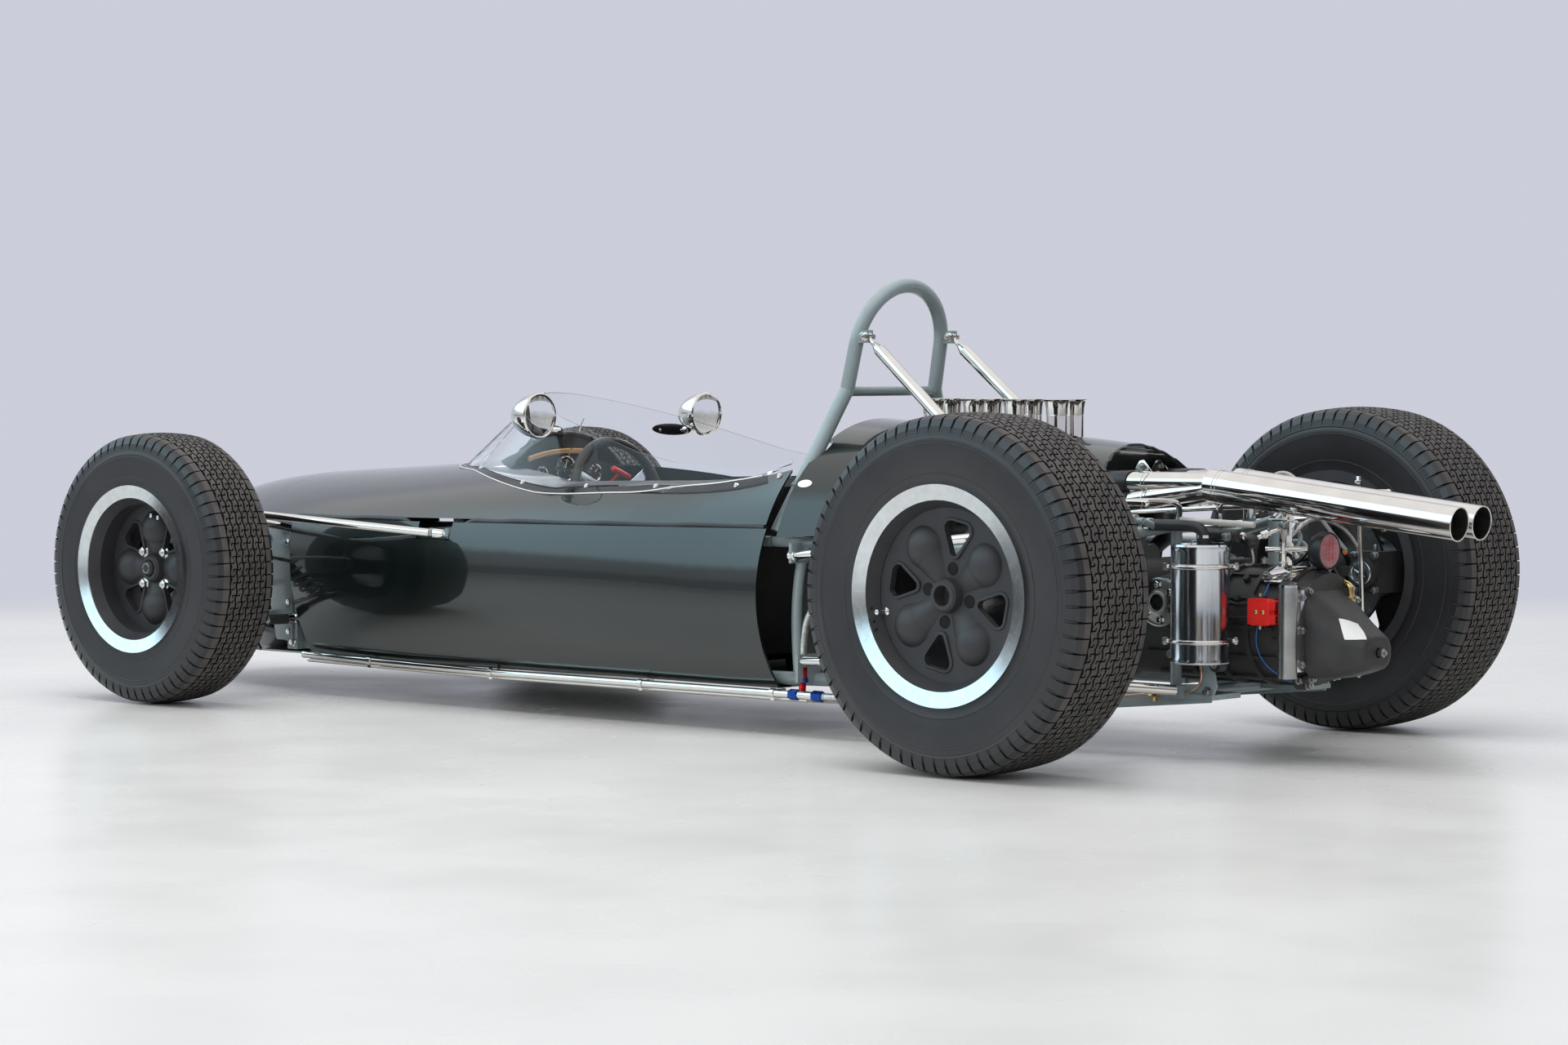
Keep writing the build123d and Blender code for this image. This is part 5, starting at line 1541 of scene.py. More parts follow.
@dataclass
class CatchTank:
    """The polished catch tank with rolled edges, clamps and hoses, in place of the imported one."""

    centre: Place = (-192, 192, 190)
    radius: float = 56.0
    height: float = 224.0
    clamps: Pair = (232, 372)

    def build(self) -> None:
        """Builds the tank and hands it to the chassis."""
        r, h = self.radius, self.height
        x, y, z = self.centre
        shell = spun([(0.01, 2), (r - 8, 2), (r - 6, 0), (r - 2, 0), (r, 3), (r, 9), (r - 1.6, 12), (r - 1.6, h - 14),
            (r, h - 11), (r, h - 4), (r - 3, h), (r - 7, h), (r - 9, h - 3), (0.01, h - 3)], self.centre, UP, 72)
        bright, steel = [], []
        across = Vector((0.74, 0.67, 0))
        for level in self.clamps:
            bright.append(ring((x, y, level), UP, r + 1.6, 4.2, 72))
            for hand in (1, -1):
                eye = Vector((x, y, level)) + across * hand * (r + 6)
                bright.append(bar(eye - across * hand * 8, eye + across * hand * 9, 4.6, 1.2, 16))
                steel.append(bar(eye + across * hand * 5 + UP * 7, eye + across * hand * 5 - UP * 7, 5.5, 0.8, 6))
        cap = spun([(0.01, 8), (12, 8), (14, 6), (14, -2)], (x + 18, y - 16, z + h - 3), UP, 24)
        elbow = bar((x - 5, y - 2, z + h - 4), (x - 5, y - 2, z + h + 12), 13, 1, 24)
        hose = tube([(-60, 190, 447), (-105, 190, 447), (-150, 190, 448), (-184, 190, 446), (-197, 190, 434),
            (-197, 190, 414)], 11, 4)
        pipe = bar((60, 190, 447), (-66, 190, 447), 6, 0.6, 20)
        clips = [spun([(11.2, -5), (12.8, -5), (12.8, 5), (11.2, 5)], place, axis, 28)
            for place, axis in (((-70, 190, 447), FORWARD), ((-197, 190, 426), UP))]
        deliver("catch_tank_polished", {ALLOY: [shell], CHROME: bright + clips + [pipe, cap], STEEL: steel,
            HOSE: [hose], BLACK: [elbow]}, stands_for=("catch_tank",))


@dataclass
class TailLamp:
    """The round rear lamp on its plated post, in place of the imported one."""

    centre: Place = (-330, 0, 399)
    radius: float = 36.0

    def build(self) -> None:
        """Builds the lamp and hands it to the chassis."""
        x, y, z = self.centre
        r = self.radius
        shell = spun([(0.01, -16), (r * 0.45, -16), (r * 0.82, -9), (r - 0.6, 2), (r, 6), (r, 20), (r - 1, 22),
            (r - 2.4, 22), (r - 2.6, 19), (0.01, 19)], self.centre, -FORWARD, 56)
        lens = spun([(0.01, 24.4), (r * 0.5, 24), (r - 6, 22.8), (r - 3.2, 20.4), (r - 2.7, 18)], self.centre, -FORWARD,
            56)
        lines = [((-19, up), (19, up)) for up in (-13.5, -4.5, 4.5, 13.5)] + [((y, -19), (y, 19)) for y in (-6, 6)]
        lines = [bar((x - 24.3, y + a[0], z + a[1]), (x - 24.3, y + b[0], z + b[1]), 0.5, 0, 6) for a, b in lines]
        post = [bar((-278, 48, 368), (-278, 48, 452), 7, 0.8, 24), bar((-250, 66, 402), (x - 2, 14, 402), 5.5, 0.8, 20),
            ring((-278, 48, 396), UP, 7.4, 1.6), ring((-278, 48, 376), UP, 7.8, 2),
            bar((x + 8, y, z - 30), (x + 8, y, z - 12), 4, 0.5, 12)]
        flat = [(-318, 22, 366), (-250, 22, 366), (-250, 74, 345), (-262, 84, 338), (-306, 84, 338), (-318, 74, 345)]
        foot = plate(flat, (0, 2, 4), 0.8)
        top = plate([(-300, 30, 452), (-256, 30, 452), (-256, 66, 456), (-300, 66, 456)], (0, 0, 4), 0.8)
        heads = bolts([((-306, 76, 350), Vector((0, 0.5, 0.86))), ((-262, 76, 350), Vector((0, 0.5, 0.86)))], 12, 7, 9)
        bracket = [block((-256, -14, 362), (-252, 14, 470), 1), block((-330, -8, 396), (-252, 8, 400), 1)]
        wire = tube([(x + 14, y - 6, z), (-296, -20, 404), (-270, -30, 380), (-240, -40, 366)], 2.4, 2)
        deliver("tail_lamp_round", {BLACK: [shell], LENS: [lens], RED_PLASTIC: lines,
            CHROME: post + [foot, top] + bracket, STEEL: [heads], HOSE: [wire]}, stands_for=("tail_lamp",))


@dataclass
class Connector:
    """The red battery connector with its contacts, screws and cables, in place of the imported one."""

    low: Place = (-325, 122, 263)
    high: Place = (-262, 142, 312)

    def build(self) -> None:
        """Builds the connector and hands it to the chassis."""
        (x0, y0, z0), (x1, y1, z1) = self.low, self.high
        mid_z = (z0 + z1) / 2
        red = [block((x0 + 12, y0, z0), (x1, y1, z1), 2.5), block((x0, y0 + 1, z0 + 2), (x0 + 14, y1 - 1, mid_z - 4),
            1.6), block((x0, y0 + 1, mid_z + 4), (x0 + 14, y1 - 1, z1 - 2), 1.6),
            block((x0 + 4, y0 + 4, mid_z - 5), (x0 + 14, y1 - 5, mid_z + 5), 1)]
        for k in range(6):
            for z in (z0 - 1.2, z1 - 1.8):
                red.append(block((x0 + 20 + k * 6, y0 + 1, z), (x0 + 23 + k * 6, y1 + 1.2, z + 3), 0.8))
        screws = buttons([((x0 + 27, y1, mid_z), LEFTWARD), ((x0 + 43, y1, mid_z), LEFTWARD)], 4.6, 2.6)
        black, steel = [], []
        for z in (z0 + 6, mid_z + 8):
            black.append(block((x0 - 0.4, y0 + 4, z), (x0 + 6, y1 - 4, z + 11), 0.5))
            steel.append(block((x0 - 3, y0 + 8, z + 4), (x0 + 4, y1 - 8, z + 7), 0.4))
            black.append(tube([(x1 - 2, 132, z + 6), (x1 + 18, 132, z + 4), (x1 + 46, 126, z + 2),
                (x1 + 74, 112, z + 12)], 4.6, 3))
        small = bolts([((x1 - 14, 118, z1 + 3), UP), ((x1 - 14, 118, z0 - 3), -UP)], 8, 4, 5.5)
        mount = block((x1 - 24, 108, z0 - 3), (x1 - 4, y0 + 1, z1 + 3), 1.5)
        deliver("battery_connector_full", {RED_PLASTIC: red, BRASS: [screws], BLACK: black + [mount],
            STEEL: steel + [small]}, stands_for=("battery_connector",))


@dataclass
class GearboxTrim:
    """Bolts, studs, pipe plates, wires and fittings on the gearbox and its cover."""

    flange_x: float = -322.0
    centre_z: float = 255.0
    plate_place: Place = (-431, 41, 257)
    plate_normal: Place = (-0.59, 0.5, 0.62)
    plate_size: Pair = (44, 50)
    boss_spots: tuple[Pair, ...] = ((-88, 303), (-95, 250), (-88, 190), (70, 326), (-70, 326), (58, 160))

    def bolts(self) -> list[Thing]:
        """All bolt heads of the case and the cover."""
        ring = []
        for degrees in range(15, 375, 60):
            a = math.radians(degrees)
            ring.append(((self.flange_x, -math.sin(a) * 113, self.centre_z + math.cos(a) * 113), -FORWARD))
        extra = [((self.flange_x, y, z), -FORWARD) for y, z in ((0, 369), (-112, 262), (60, 158), (-60, 158))]
        cover = [((-357, 104, z), -FORWARD) for z in (316, 254, 190)]
        cover += [((-350, y, z), -FORWARD) for y, z in self.boss_spots]
        tops = [((x, 0, self.centre_z + 115), UP) for x in (-30, -128, -202)]
        return [bolts(ring + extra, 13, 8, 9.5), bolts(cover, 11, 7, 8.5), bolts(tops, 12, 8, 9),
            bolts([((-460, 0, 212), -FORWARD)], 15, 12, 11), bolts([((-360, -20, 170), -UP), ((-404, -20, 176), -UP)],
            12, 9, 10)]

    def bosses(self) -> list[Thing]:
        """Cast bosses and ribs that the plain case leaves out."""
        made = [bar((-336, y, z), (-350, y, z), 10, 1.5, 24) for y, z in self.boss_spots]
        made.append(bar((-446, 0, 212), (-462, 0, 212), 15, 2, 28, 12))
        for x in (-250, -210, -130, -60):
            for degrees in (-62, -38, 38, 62):
                a = math.radians(degrees)
                y, z = math.sin(a) * 110, self.centre_z + math.cos(a) * 110
                made.append(bar((x, y * 0.98, z), (x, y * 1.08, self.centre_z + (z - self.centre_z) * 1.08), 7, 1.5,
                    20))
        made.append(block((-150, -34, 366), (-70, 34, 378), 3))
        return made

    def blank_plate(self) -> Thing:
        """The small white plate on the cover, left blank and laid on the casting."""
        pick()
        place, normal = Vector(self.plate_place), Vector(self.plate_normal).normalized()
        bpy.ops.mesh.primitive_grid_add(x_subdivisions=10, y_subdivisions=12, size=0.001,
            location=at(*(place + normal * 6)), rotation=normal.to_track_quat("Z", "Y").to_euler())
        bpy.context.object.scale = (*self.plate_size, 1)
        plate = settle()
        wrap = plate.modifiers.new("lay", "SHRINKWRAP")
        wrap.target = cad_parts["gearbox_cover"]
        wrap.offset = 0.0006
        bpy.ops.object.modifier_apply(modifier="lay")
        thicken(plate, 0.0008, 1)
        return smooth(plate, 40)

    def build(self) -> None:
        """Builds the gearbox trim."""
        plate = [block((-357, 90, 176), (-352.6, 124, 330), 1.2), spun([(17.5, 0), (18.4, 0), (18.4, 4), (17.5, 4)],
            (-352, 138, 336.4), UP, 36), spun([(0.01, 0.5), (16.5, 0.5), (16.5, -2), (0.01, -2)], (-352, 138, 340.4),
            UP, 36)]
        brass = [bar((-336, -50, 336), (-352, -50, 336), 9, 1, 6), tube([(-350, -50, 336), (-362, -50, 334),
            (-366, -50, 322), (-366, -50, 306)], 7, 3), bar((-366, -50, 312), (-366, -50, 298), 9, 1, 6)]
        hoses = [tube([(-236, -50, 372), (-262, -50, 382), (-300, -50, 380), (-330, -50, 360), (-338, -50, 340)], 5, 3)]
        blank = self.blank_plate()
        teal = [bar((-380, -20, 178), (-380, -20, 196), 9, 1.2, 6), bar((-380, -20, 182), (-380, -34, 182), 6, 1, 20)]
        blue = [tube([(-262, 66, 350), (-272, 84, 338), (-274, 98, 322), (-268, 108, 306)], 1.3, 2),
            tube([(-268, 114, 262), (-262, 116, 236), (-268, 108, 200), (-286, 92, 172), (-312, 66, 152)], 1.3, 2)]
        deliver("gearbox_trim", {STEEL: self.bolts(), CASTING: self.bosses(), ALLOY: plate, BRASS: brass, HOSE: hoses,
            TEAL_METAL: teal, BLUE_WIRE: blue, WHITE: [blank]})


@dataclass
class OutputFlange:
    """The bolted drive flange with its ring that shows beside the tank."""

    centre: Place = (-65, 140, 298)
    radius: float = 47.0

    def build(self) -> None:
        """Builds one on each side."""
        steel, heads, cast = [], [], []
        for side in Side:
            out = side.out
            place = side.flip(self.centre)
            r = self.radius
            steel += [spun([(17, 0), (17, 14), (20, 18), (25, 17), (27, 11), (r - 5, 10), (r - 3, 14), (r, 13),
                (r + 0.6, 9), (r + 0.6, 0), (17, 0)], place, out, 56), ring(side.flip((-65, 158, 298)), LEFTWARD, 19, 4,
                40)]
            x, y, z = place
            seats = []
            for k in range(6):
                a = TURN * (k + 0.4) / 6
                seats.append(((x + math.cos(a) * 34, y + 10 * side.value, z + math.sin(a) * 34), out))
            heads.append(bolts(seats, 12, 6, 8))
            cast.append(bar(side.flip((-65, 96, 298)), side.flip((-65, 139, 298)), 54, 3, 48, 50))
        deliver("output_flanges", {DULL_ALLOY: steel, CHROME: heads, CASTING: cast})


@dataclass
class RearLinkage:
    """Drop links, levers, shift joint, tubes and cables behind the engine."""

    def sides(self) -> Groups:
        """The parts that both sides have: drop link with lever and ball ends, side plate, cable and copper pipes."""
        return make(((CHROME, bar, (-148, 400, 528), (-160, 400, 202), 5, 0.8, 20),
            (CHROME, bar, (-148, 400, 497), (-218, 400, 497), 6.2, 2, 20), (CHROME, ball, (-218, 400, 497), 7.4),
            (CHROME, bar, (-148, 400, 508), (-148, 400, 520), 7.5, 0.8, 6), (CHROME, ball, (-160, 400, 202), 10),
            (CHROME, bar, (-160, 400, 232), (-160, 400, 214), 7.5, 0.8, 6), (CHROME, bar, (-160, 400, 202),
            (-46, 392, 158), 6, 0.8, 16), (CHROME, tube, [(-148, 392, 497), (-148, 240, 497), (-140, 180, 486),
            (-114, 160, 452)], 6), (BLACK, bar, (-230, 176, 188), (-230, 200, 188), 13, 2, 28),
            (GREY_CABLE, tube, [(40, 300, 462), (25, 300, 499), (-34, 300, 546), (-93, 300, 502), (-112, 300, 456),
            (-118, 400, 380)], 4.2), (STEEL, bolts, [((-209, 191, 136), LEFTWARD), ((40, 191, 104), LEFTWARD),
            ((-130, 197, 205), LEFTWARD)], 14, 8, 10), (STEEL, bar, (-230, 172, 188), (-230, 204, 188), 6, 0.8, 16),
            (COPPER, tube, [(-190, 194, 206), (-200, 194, 170), (-188, 194, 140), (-150, 194, 129), (-96, 194, 126)],
            2.6), (COPPER, tube, [(-76, 194, 126), (-20, 194, 120), (60, 196, 110), (160, 205, 104)], 2.6),
            (BRASS, bar, (-96, 194, 126), (-76, 194, 126), 7, 1, 6), (BRASS, bar, (-87, 194, 126), (-87, 194, 112), 5,
            0.8, 6), (FRAME_PAINT, plate, [(69, 186, 88), (-215, 186, 116), (-229, 186, 148), (-218, 186, 196),
            (-196, 186, 196), (-190, 186, 150), (69, 186, 118)], (0, 5, 0), 1)), Side)

    def build(self) -> None:
        """Adds the shift joint in the middle and hands the linkage over."""
        deliver("rear_linkage", make(((GREY_CABLE, bar, (-143, 190, 458), (-300, 172, 452), 6, 1, 20),
            (BLACK, bar, (-175, 150, 430), (-250, 150, 429), 13, 2, 32), (BLACK, ball, (-257, 120, 419), 14),
            (BLACK, bar, (-257, 120, 405), (-257, 120, 430), 9, 1, 20), (BLACK, tube,
            [(-120, 100, 425), (-190, 104, 424), (-250, 118, 420)], 8), (CHROME, bar, (-257, 118, 421), (-290, 56, 446),
            4.6, 0.6, 16), (CHROME, bar, (-266, 102, 428), (-274, 87, 434), 8, 0.8, 6),
            (CHROME, bar, (-250, 150, 429), (-262, 150, 429), 7.5, 0.8, 6), (CHROME, bar, (-206, 150, 470),
            (-206, 150, 446), 3.2, 0.5, 12), (STEEL, bolts, [((-232, 164, 428), LEFTWARD), ((-290, 62, 448), LEFTWARD)],
            13, 8, 10), (GREY_CABLE, tube, [(-257, 120, 405), (-262, 118, 384), (-246, 104, 372), (-224, 92, 372)], 2.2,
            2), (RED_PLASTIC, block, (150, 70, 540), (190, 96, 556), 3)), groups=self.sides()))


@dataclass
class BrakeTrim:
    """Caliper caps, bolts, bleed screws and hoses at the two rear brakes."""

    def build(self) -> None:
        """Builds the brake trim."""
        seats = [((-118 + dx, 470.5, 331 + dz), -LEFTWARD) for dx, dz in ((-24, 36), (24, 36), (-24, -34), (24, -34))]
        deliver("rear_brake_trim", make(((ALLOY, spun, [(0.01, 2.4), (19, 2.4), (20, 4), (25, 4), (26.5, 1),
            (26.5, -2)], (-118, 452.5, 331), -LEFTWARD, 40), (ALLOY, bar, (-130, 449.6, 324), (-106, 449.6, 338), 1.4,
            0.3, 8), (STEEL, bolts, seats, 12, 7, 9), (STEEL, bar, (-128, 492, 374), (-128, 492, 388), 4, 0.6, 6),
            (BRAID, tube, [(-106, 470, 374), (-100, 450, 410), (-96, 380, 440), (-92, 300, 446), (-80, 262, 410)], 5),
            (ORANGE, bar, (-84, 452, 372), (-84, 446, 372), 5, 1.5, 16)), Side))


@dataclass
class CoilDampers:
    """Dampers with real coils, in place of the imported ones."""

    rear: tuple[Point, Point] = ((-54, 473.5, 200), (-64, 232, 456))
    front: tuple[Point, Point] = ((2315, 460, 172), (2350, 322, 390))

    @staticmethod
    def one(bottom: Vector, top: Vector) -> Groups:
        """One damper between two pivots.

        Args:
            bottom: Lower pivot.
            top: Upper pivot.

        Returns:
            Its parts by finish.
        """
        along = (top - bottom).normalized()
        length = (top - bottom).length

        def p(distance: float) -> Vector:
            """The point this far up from the lower pivot."""
            return bottom + along * distance

        black = [bar(p(12), p(length * 0.62), 15.5, 2, 32), bar(p(length - 60), p(length - 44), 17, 4, 28)]
        bright = [bar(p(length * 0.6), p(length - 12), 6.2, 0.5, 20)]
        alloy = [bar(p(34), p(42), 30, 2, 40), bar(p(42), p(50), 22, 1, 12), bar(p(length - 44), p(length - 34), 30, 2,
            40)]
        steel = [bar(q - FORWARD * 8, q + FORWARD * 8, 12, 1, 28) for q in (bottom, top)]
        coil = [spring(p(46), p(length - 46), 25.5, 4.6, 7.2)]
        return {BLACK: black, CHROME: bright, ALLOY: alloy, STEEL: steel, FRAME_PAINT: coil}

    def build(self) -> None:
        """Builds the four dampers."""
        for name, (bottom, top) in (("rear", self.rear), ("front", self.front)):
            groups: Groups = {}
            for side in Side:
                for finish, parts in self.one(Vector(side.flip(bottom)), Vector(side.flip(top))).items():
                    groups.setdefault(finish, []).extend(parts)
            deliver(f"{name}_coil_dampers", groups, stands_for=(f"{name}_dampers",))


@dataclass
class FrontTrim:
    """Side plates, rod ends, boots, bolts and brake hoses of the front suspension."""

    plate: tuple[Pair, ...] = ((2288, 392), (2382, 392), (2376, 240), (2344, 120), (2288, 120))
    bolt_spots: tuple[Pair, ...] = ((2289, 373), (2300, 345), (2300, 208), (2300, 140), (2289, 116))

    def build(self) -> None:
        """Builds the front trim of both sides."""
        deliver("front_suspension_trim", make(((CHROME, bar, (1712, 354, 381.6), (1738, 363, 383.6), 11.5, 1.5, 24),
            (CHROME, bolts, [((x, 292, z), LEFTWARD) for x, z in self.bolt_spots], 13, 7, 9),
            (CHROME, bar, (712, 322, 367), (728, 323, 365), 12, 2, 24), (BRASS, bar, (1700.5, 352, 381),
            (1693, 352, 381), 10.5, 1.2, 28), (BLACK, tube, [(2266, 330, 172), (2272, 350, 172), (2279, 376, 172)], 12),
            (BRAID, tube, [(2290, 292, 300), (2276, 330, 306), (2262, 400, 318), (2246, 470, 330), (2232, 508, 330)],
            4.6), (FRAME_PAINT, plate, [(x, 293, z) for x, z in self.plate], (0, 3, 0), 0.8),
            (STEEL, bar, (1693, 352, 381), (1687, 352, 381), 6.5, 0.8, 6), (STEEL, bar, (1738, 363, 383.6),
            (1748, 366, 384.4), 11, 0.8, 6), (STEEL, bar, (700, 321, 368), (690, 320, 369), 11, 0.8, 6)), Side))


@dataclass
class SidePlumbing:
    """Clips on the side pipes, and the hose with coloured unions ahead of the rear wheel."""

    clips: tuple[Place, ...] = ((780, 316.4, 85.9), (1150, 318.9, 84.9), (1600, 322, 84), (2000, 315.5, 89.1))

    def build(self) -> None:
        """Builds the plumbing of both sides."""
        clips = [(CHROME, spun, [(8.1, -6), (10.2, -6), (10.2, 6), (8.1, 6)], place, FORWARD, 24)
            for place in self.clips]
        deliver("side_plumbing", make((*clips, (CHROME, bar, (713, 316, 86), (671, 316, 86), 8.6, 0.8, 24),
            (BRAID, tube, [(672, 268, 300), (690, 290, 268), (702, 304, 236), (708, 306, 190), (709, 306, 137)], 7.5,
            4), (BRAID, tube, [(648, 316, 86), (590, 312, 86), (520, 286, 96), (470, 232, 120)], 7.5, 4),
            (RED_METAL, bar, (709, 306, 142), (709, 306, 120), 9, 1, 20), (RED_METAL, tube,
            [(709, 306, 112), (709, 307, 100), (706, 312, 92), (700, 315, 88)], 7.5, 4),
            (BLUE_METAL, bar, (709, 306, 120), (709, 306, 111), 11, 1, 6), (BLUE_METAL, bar, (734, 316, 86),
            (712, 316, 86), 11.5, 1.2, 6), (BLUE_METAL, bar, (672, 316, 86), (646, 316, 86), 11.5, 1.2, 6),
            (GREY_CABLE, tube, [(700, 300, 76), (640, 300, 76), (560, 290, 82), (500, 262, 96)], 5.4),
            (FRAME_PAINT, tube, [(712, 286, 396), (757, 286, 314), (740, 284, 130)], 11)), Side))


# Stage


@dataclass
class Stage:
    """Floor, soft lamps, world and camera."""

    lens: float = 88.72
    sensor: float = 36.0
    camera_place: Place = (-5.5959, 6.0848, 0.7479)
    camera_pitch: float = -2.32
    camera_yaw: float = -137.82
    backdrop: Colour = (0.6, 0.617, 0.7)
    daylight: Colour = (0.8, 0.81, 0.83)
    window: Colour = (1.38, 1.93, 2.16)
    lamps: tuple[tuple[str, Place, Place, Pair, float], ...] = (("top_softbox", (0, 1, 4.6), (0, 0, 0), (7, 4), 260),
        ("left_softbox", (-3, 6, 3), (0, 0, 0.4), (5, 2.4), 150), ("back_softbox", (3, -5, 3.4), (0, 0, 0.4), (6, 2),
        120))

    def camera(self) -> None:
        """Places the camera as the photograph's was."""
        data = bpy.data.cameras.new("camera")
        data.lens, data.sensor_width, data.clip_end = self.lens, self.sensor, 200
        camera = add("camera", data)
        camera.location = self.camera_place
        camera.rotation_euler = (math.radians(90 + self.camera_pitch), 0, math.radians(self.camera_yaw))
        bpy.context.scene.camera = camera

    def lamp(self, name: str, place: Point, target: Point, size: Pair, power: float) -> None:
        """Adds one soft area lamp.

        Args:
            name: The lamp's name.
            place: Its place.
            target: The point that it faces.
            size: Width and height in metres.
            power: Power in watts.
        """
        data = bpy.data.lights.new(name, "AREA")
        data.shape = "RECTANGLE"
        data.size, data.size_y = size
        data.energy = power
        lamp = add(name, data)
        lamp.location = place
        lamp.rotation_euler = (Vector(target) - Vector(place)).to_track_quat("-Z", "Y").to_euler()
        lamp.visible_glossy = False

    def floor(self) -> None:
        """Lays a pale polished floor that fades into the backdrop far away."""
        pick()
        bpy.ops.mesh.primitive_plane_add(size=80, location=(0, 0, 0))
        floor = settle()
        floor.name = "studio_floor"
        nodes = Nodes("studio_floor")
        tint = nodes.ramp(nodes.noise(0.8, 4), ((0.3, (0.66, 0.665, 0.65)), (0.7, (0.7, 0.705, 0.69))))
        nodes.shade({"Roughness": nodes.math("ADD", nodes.math("MULTIPLY", nodes.noise(2.5, 3), 0.22), 0.16),
            "Specular IOR Level": 0.35, "Base Color": tint})
        x, y, _ = nodes.split()
        away = nodes.total(x, 0.67, y, -0.74)
        fades = nodes.math("MAXIMUM", nodes.fade(away, 3, 4.2), nodes.fade(nodes.length(x, y), 6, 9))
        seen = nodes.math("MULTIPLY", fades, nodes.math("MAXIMUM", *nodes.direct()))
        far = nodes.node("Emission", {"Color": self.backdrop}).outputs[0]
        mix = nodes.node("MixShader", {0: seen, 1: nodes.shader.outputs[0], 2: far})
        nodes.feed(nodes.out, {0: mix.outputs[0]})
        paint(floor, nodes.material)

    def mirrored_room(self, graph: Graph) -> Socket:
        """The room that shiny surfaces show: windows on one side, the wall behind, uprights elsewhere.

        Args:
            graph: The world's nodes.

        Returns:
            The colour socket.
        """
        x, y, z = graph.split()
        height = graph.math("MULTIPLY", graph.math("ADD", z, 1), 0.5)

        def facing(across: float, start: float, full: float) -> Socket:
            """How much a direction faces one side of the room."""
            return graph.fade(graph.total(x, 0.67, y, across), start, full, "SMOOTHSTEP")

        def band(low: float, high: float) -> Socket:
            """White between two heights and black elsewhere."""
            black, white, soft = (0, 0, 0), (1, 1, 1), 0.03
            return graph.ramp(height, ((low - soft, black), (low, white), (high, white), (high + soft, black)))

        lit = graph.ramp(height, ((0, (0.3, 0.31, 0.32)), (0.53, (0.36, 0.38, 0.4)), (0.545, (0.6, 0.66, 0.7)),
            (0.61, (0.7, 0.78, 0.84))))
        dim = graph.ramp(height, ((0, (0.26, 0.27, 0.28)), (0.5, (0.32, 0.33, 0.35)), (0.53, (0.2, 0.21, 0.22)),
            (0.56, (0.34, 0.37, 0.41)), (0.7, (0.44, 0.47, 0.52)), (0.76, (0.86, 0.88, 0.9)), (0.86, (1, 1, 1))))
        uprights = graph.ramp(graph.noise(5.5, 3, (1, 1, 0.08)), ((0.38, (0.025, 0.022, 0.02)),
            (0.43, (0.13, 0.105, 0.085)), (0.47, (0.4, 0.35, 0.3)), (0.5, (0.08, 0.07, 0.06)),
            (0.535, (0.3, 0.3, 0.31)), (0.57, (0.95, 0.95, 0.94)), (0.6, (0.3, 0.31, 0.33)), (0.66, (0.45, 0.46, 0.5))))
        colour = graph.mix(band(0.52, 0.7), dim, uprights)
        colour = graph.mix(graph.math("MULTIPLY", facing(-0.74, 0.3, 0.45), band(0, 0.74)), colour, self.backdrop)
        colour = graph.mix(facing(0.74, 0.55, 0.75), colour, lit)
        return graph.mix(graph.math("MULTIPLY", facing(0.74, 0.35, 0.6), band(0.625, 0.86)), colour, self.window)

    def world(self) -> None:
        """Sets a pale world: backdrop for the camera, a room for shiny surfaces, daylight for the rest."""
        world = bpy.data.worlds.new("studio")
        bpy.context.scene.world = world
        world.use_nodes = True
        graph = Graph(world.node_tree, "Generated")
        direct, glossy = graph.direct()
        sky = graph.node("Background", {0: self.daylight, 1: 0.55}).outputs[0]
        room = graph.node("Background", {0: self.mirrored_room(graph)}).outputs[0]
        seen = graph.node("Background", {0: self.backdrop}).outputs[0]
        bounced = graph.node("MixShader", {0: glossy, 1: sky, 2: room}).outputs[0]
        mixed = graph.node("MixShader", {0: direct, 1: bounced, 2: seen}).outputs[0]
        graph.node("OutputWorld", {0: mixed})

    def build(self) -> None:
        """Sets up the whole stage."""
        bpy.context.scene.view_settings.view_transform = "Standard"
        self.camera()
        self.floor()
        self.world()
        for row in self.lamps:
            self.lamp(*row)


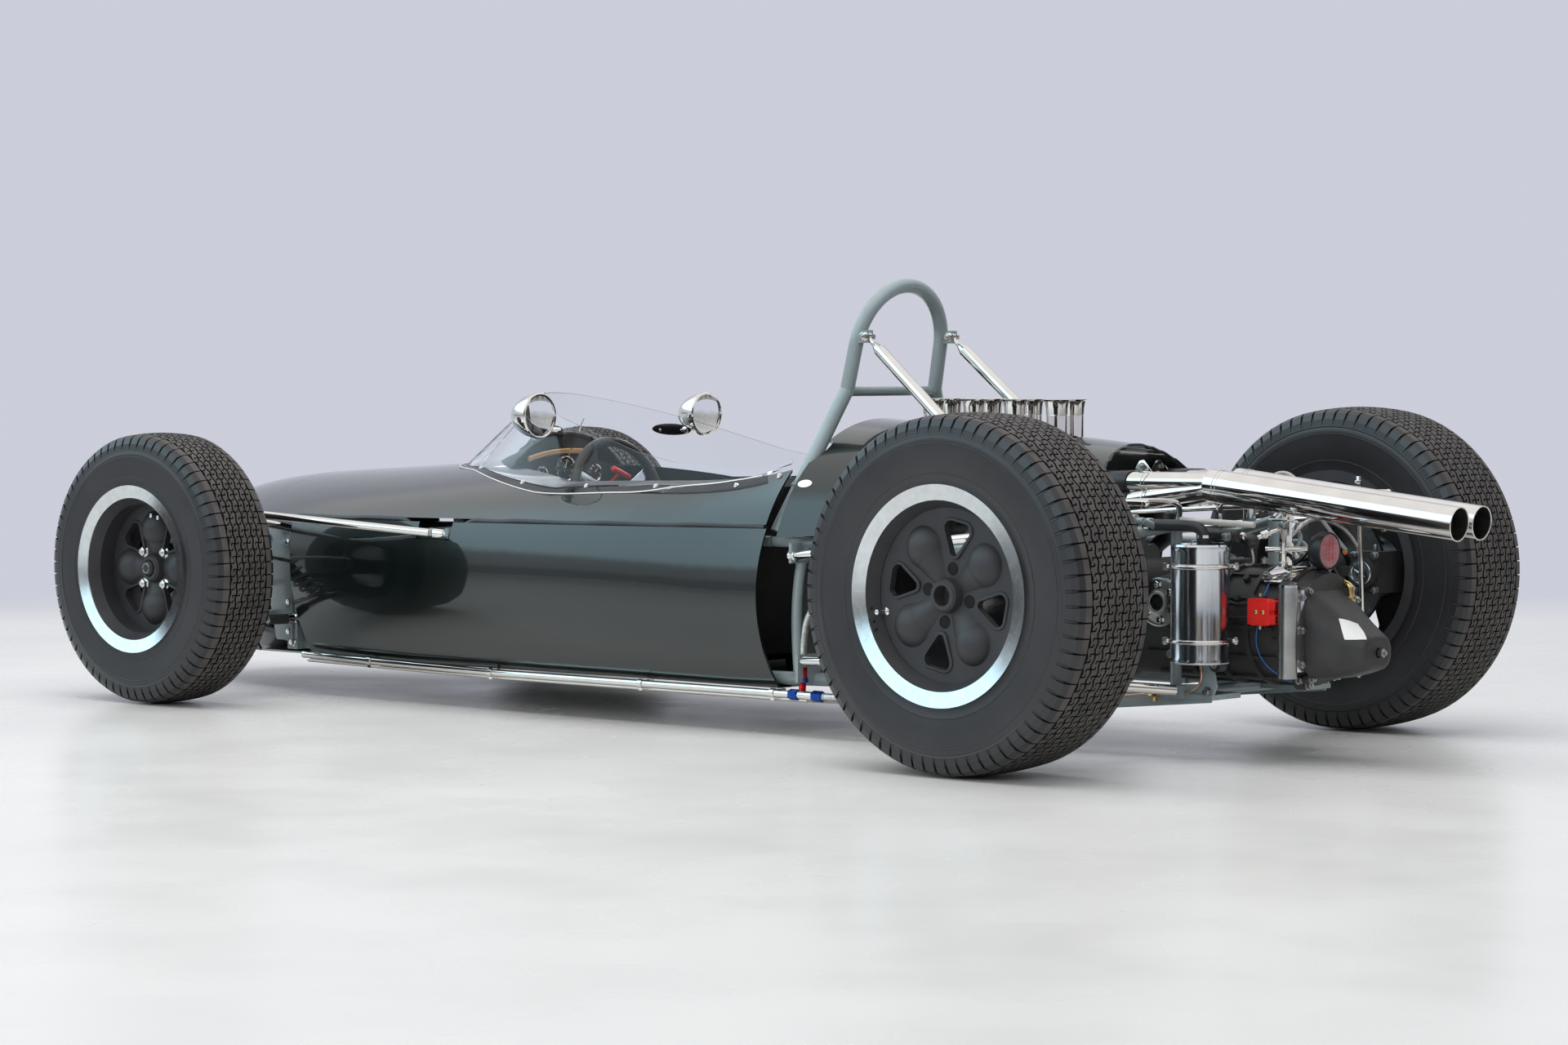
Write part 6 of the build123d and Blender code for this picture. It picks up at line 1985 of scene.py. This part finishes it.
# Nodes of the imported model


@dataclass
class PackedNodes:
    """Better finishes for the nodes whose shape is right as packed."""

    by_finish: dict[Finish, tuple[str, ...]] = field(default_factory=lambda:
        {PAINT: ("nose_cone", "upper_cowl", "side_panel_left", "side_panel_right", "engine_cover"),
        SHEET: ("undertray", "firewall"), FRAME_PAINT: ("roll_hoop", "lower_rails", "upper_rails", "front_frame",
        "rear_frame"), CHROME: ("hoop_stays", "front_arms", "rear_links", "intake_trumpets", "mirrors", "side_pipes"),
        EXHAUST: ("exhaust_left", "exhaust_right"), STEEL: ("front_hub_left", "front_hub_right", "drive_shaft_left",
        "drive_shaft_right", "tie_rods", "steering_column"), CASTING: ("gearbox_case", "gearbox_cover", "rear_uprights",
        "knuckle_left", "knuckle_right", "rack_housing"), ENGINE_ALLOY: ("engine_block",), LEATHER: ("seat",),
        CRACKLE: ("dash_hood", "dash_panel"), BLACK: ("steering_wheel", "front_dampers", "rear_dampers", "tail_lamp"),
        CORE: ("radiator",), ALLOY: ("catch_tank",), DULL_ALLOY: ("breather_tube",),
        RED_PLASTIC: ("battery_connector",), ACRYLIC: ("windscreen",)})

    def dress(self) -> None:
        """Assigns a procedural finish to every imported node."""
        for finish, nodes in self.by_finish.items():
            for name in nodes:
                smooth(paint(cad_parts[name], finish.build()), NODE_SHARP)


TYRE_SIZES = {"front": dict(axle_x=FRONT_AXLE_X, track_half=654.5, radius=300, width=167, rim_radius=185, bead_seat=169,
    bead_half=83.7, pitches=66, ribs=6), "rear": dict(axle_x=0, track_half=626.5, radius=332, width=213, rim_radius=203,
    bead_seat=188, bead_half=102.7, pitches=72, ribs=7)}
RIM_SIZES = {"front": (0.156, 0.058), "rear": (0.173, 0.076)}
TRIM_SIZES = {"front": dict(web_y=672.8, lug_clock=45, valve_angle=93.5, valve_r=117, valve_y=690),
    "rear": dict(web_y=700.5, lug_clock=11, valve_angle=-13.6, valve_r=150, valve_y=730)}


def dress_wheels() -> None:
    """Builds the four tyres and wheel trims and finishes the four rims."""
    for end, sizes in TYRE_SIZES.items():
        for side in Side:
            tyre = Tyre(end=end, side=side, **sizes)
            tyre.build()
            WheelTrim(tyre=tyre, **TRIM_SIZES[end]).build()
            lip_from, face_from = RIM_SIZES[end]
            rim = f"{end}_rim_{side.word}"
            finish = RimFinish(rim, at(*tyre.centre), lip_from, face_from, side)
            smooth(paint(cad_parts[rim], finish.build()), NODE_SHARP)


def main() -> None:
    """Builds the stage, dresses the nodes and adds each piece in order."""
    Stage().build()
    PackedNodes().dress()
    dress_wheels()
    for piece in (SeamShade(), ScreenSkirt(), CockpitKit(), SteeringWheel(), Mirrors(), HoopTrim(), IntakeTrim(),
            EngineDress(), ExhaustTrim(), CoverLip(), CatchTank(), TailLamp(), Connector(), GearboxTrim(),
            OutputFlange(), RearLinkage(), BrakeTrim(), CoilDampers(), FrontTrim(), SidePlumbing()):
        piece.build()


if __name__ == "__main__":
    main()
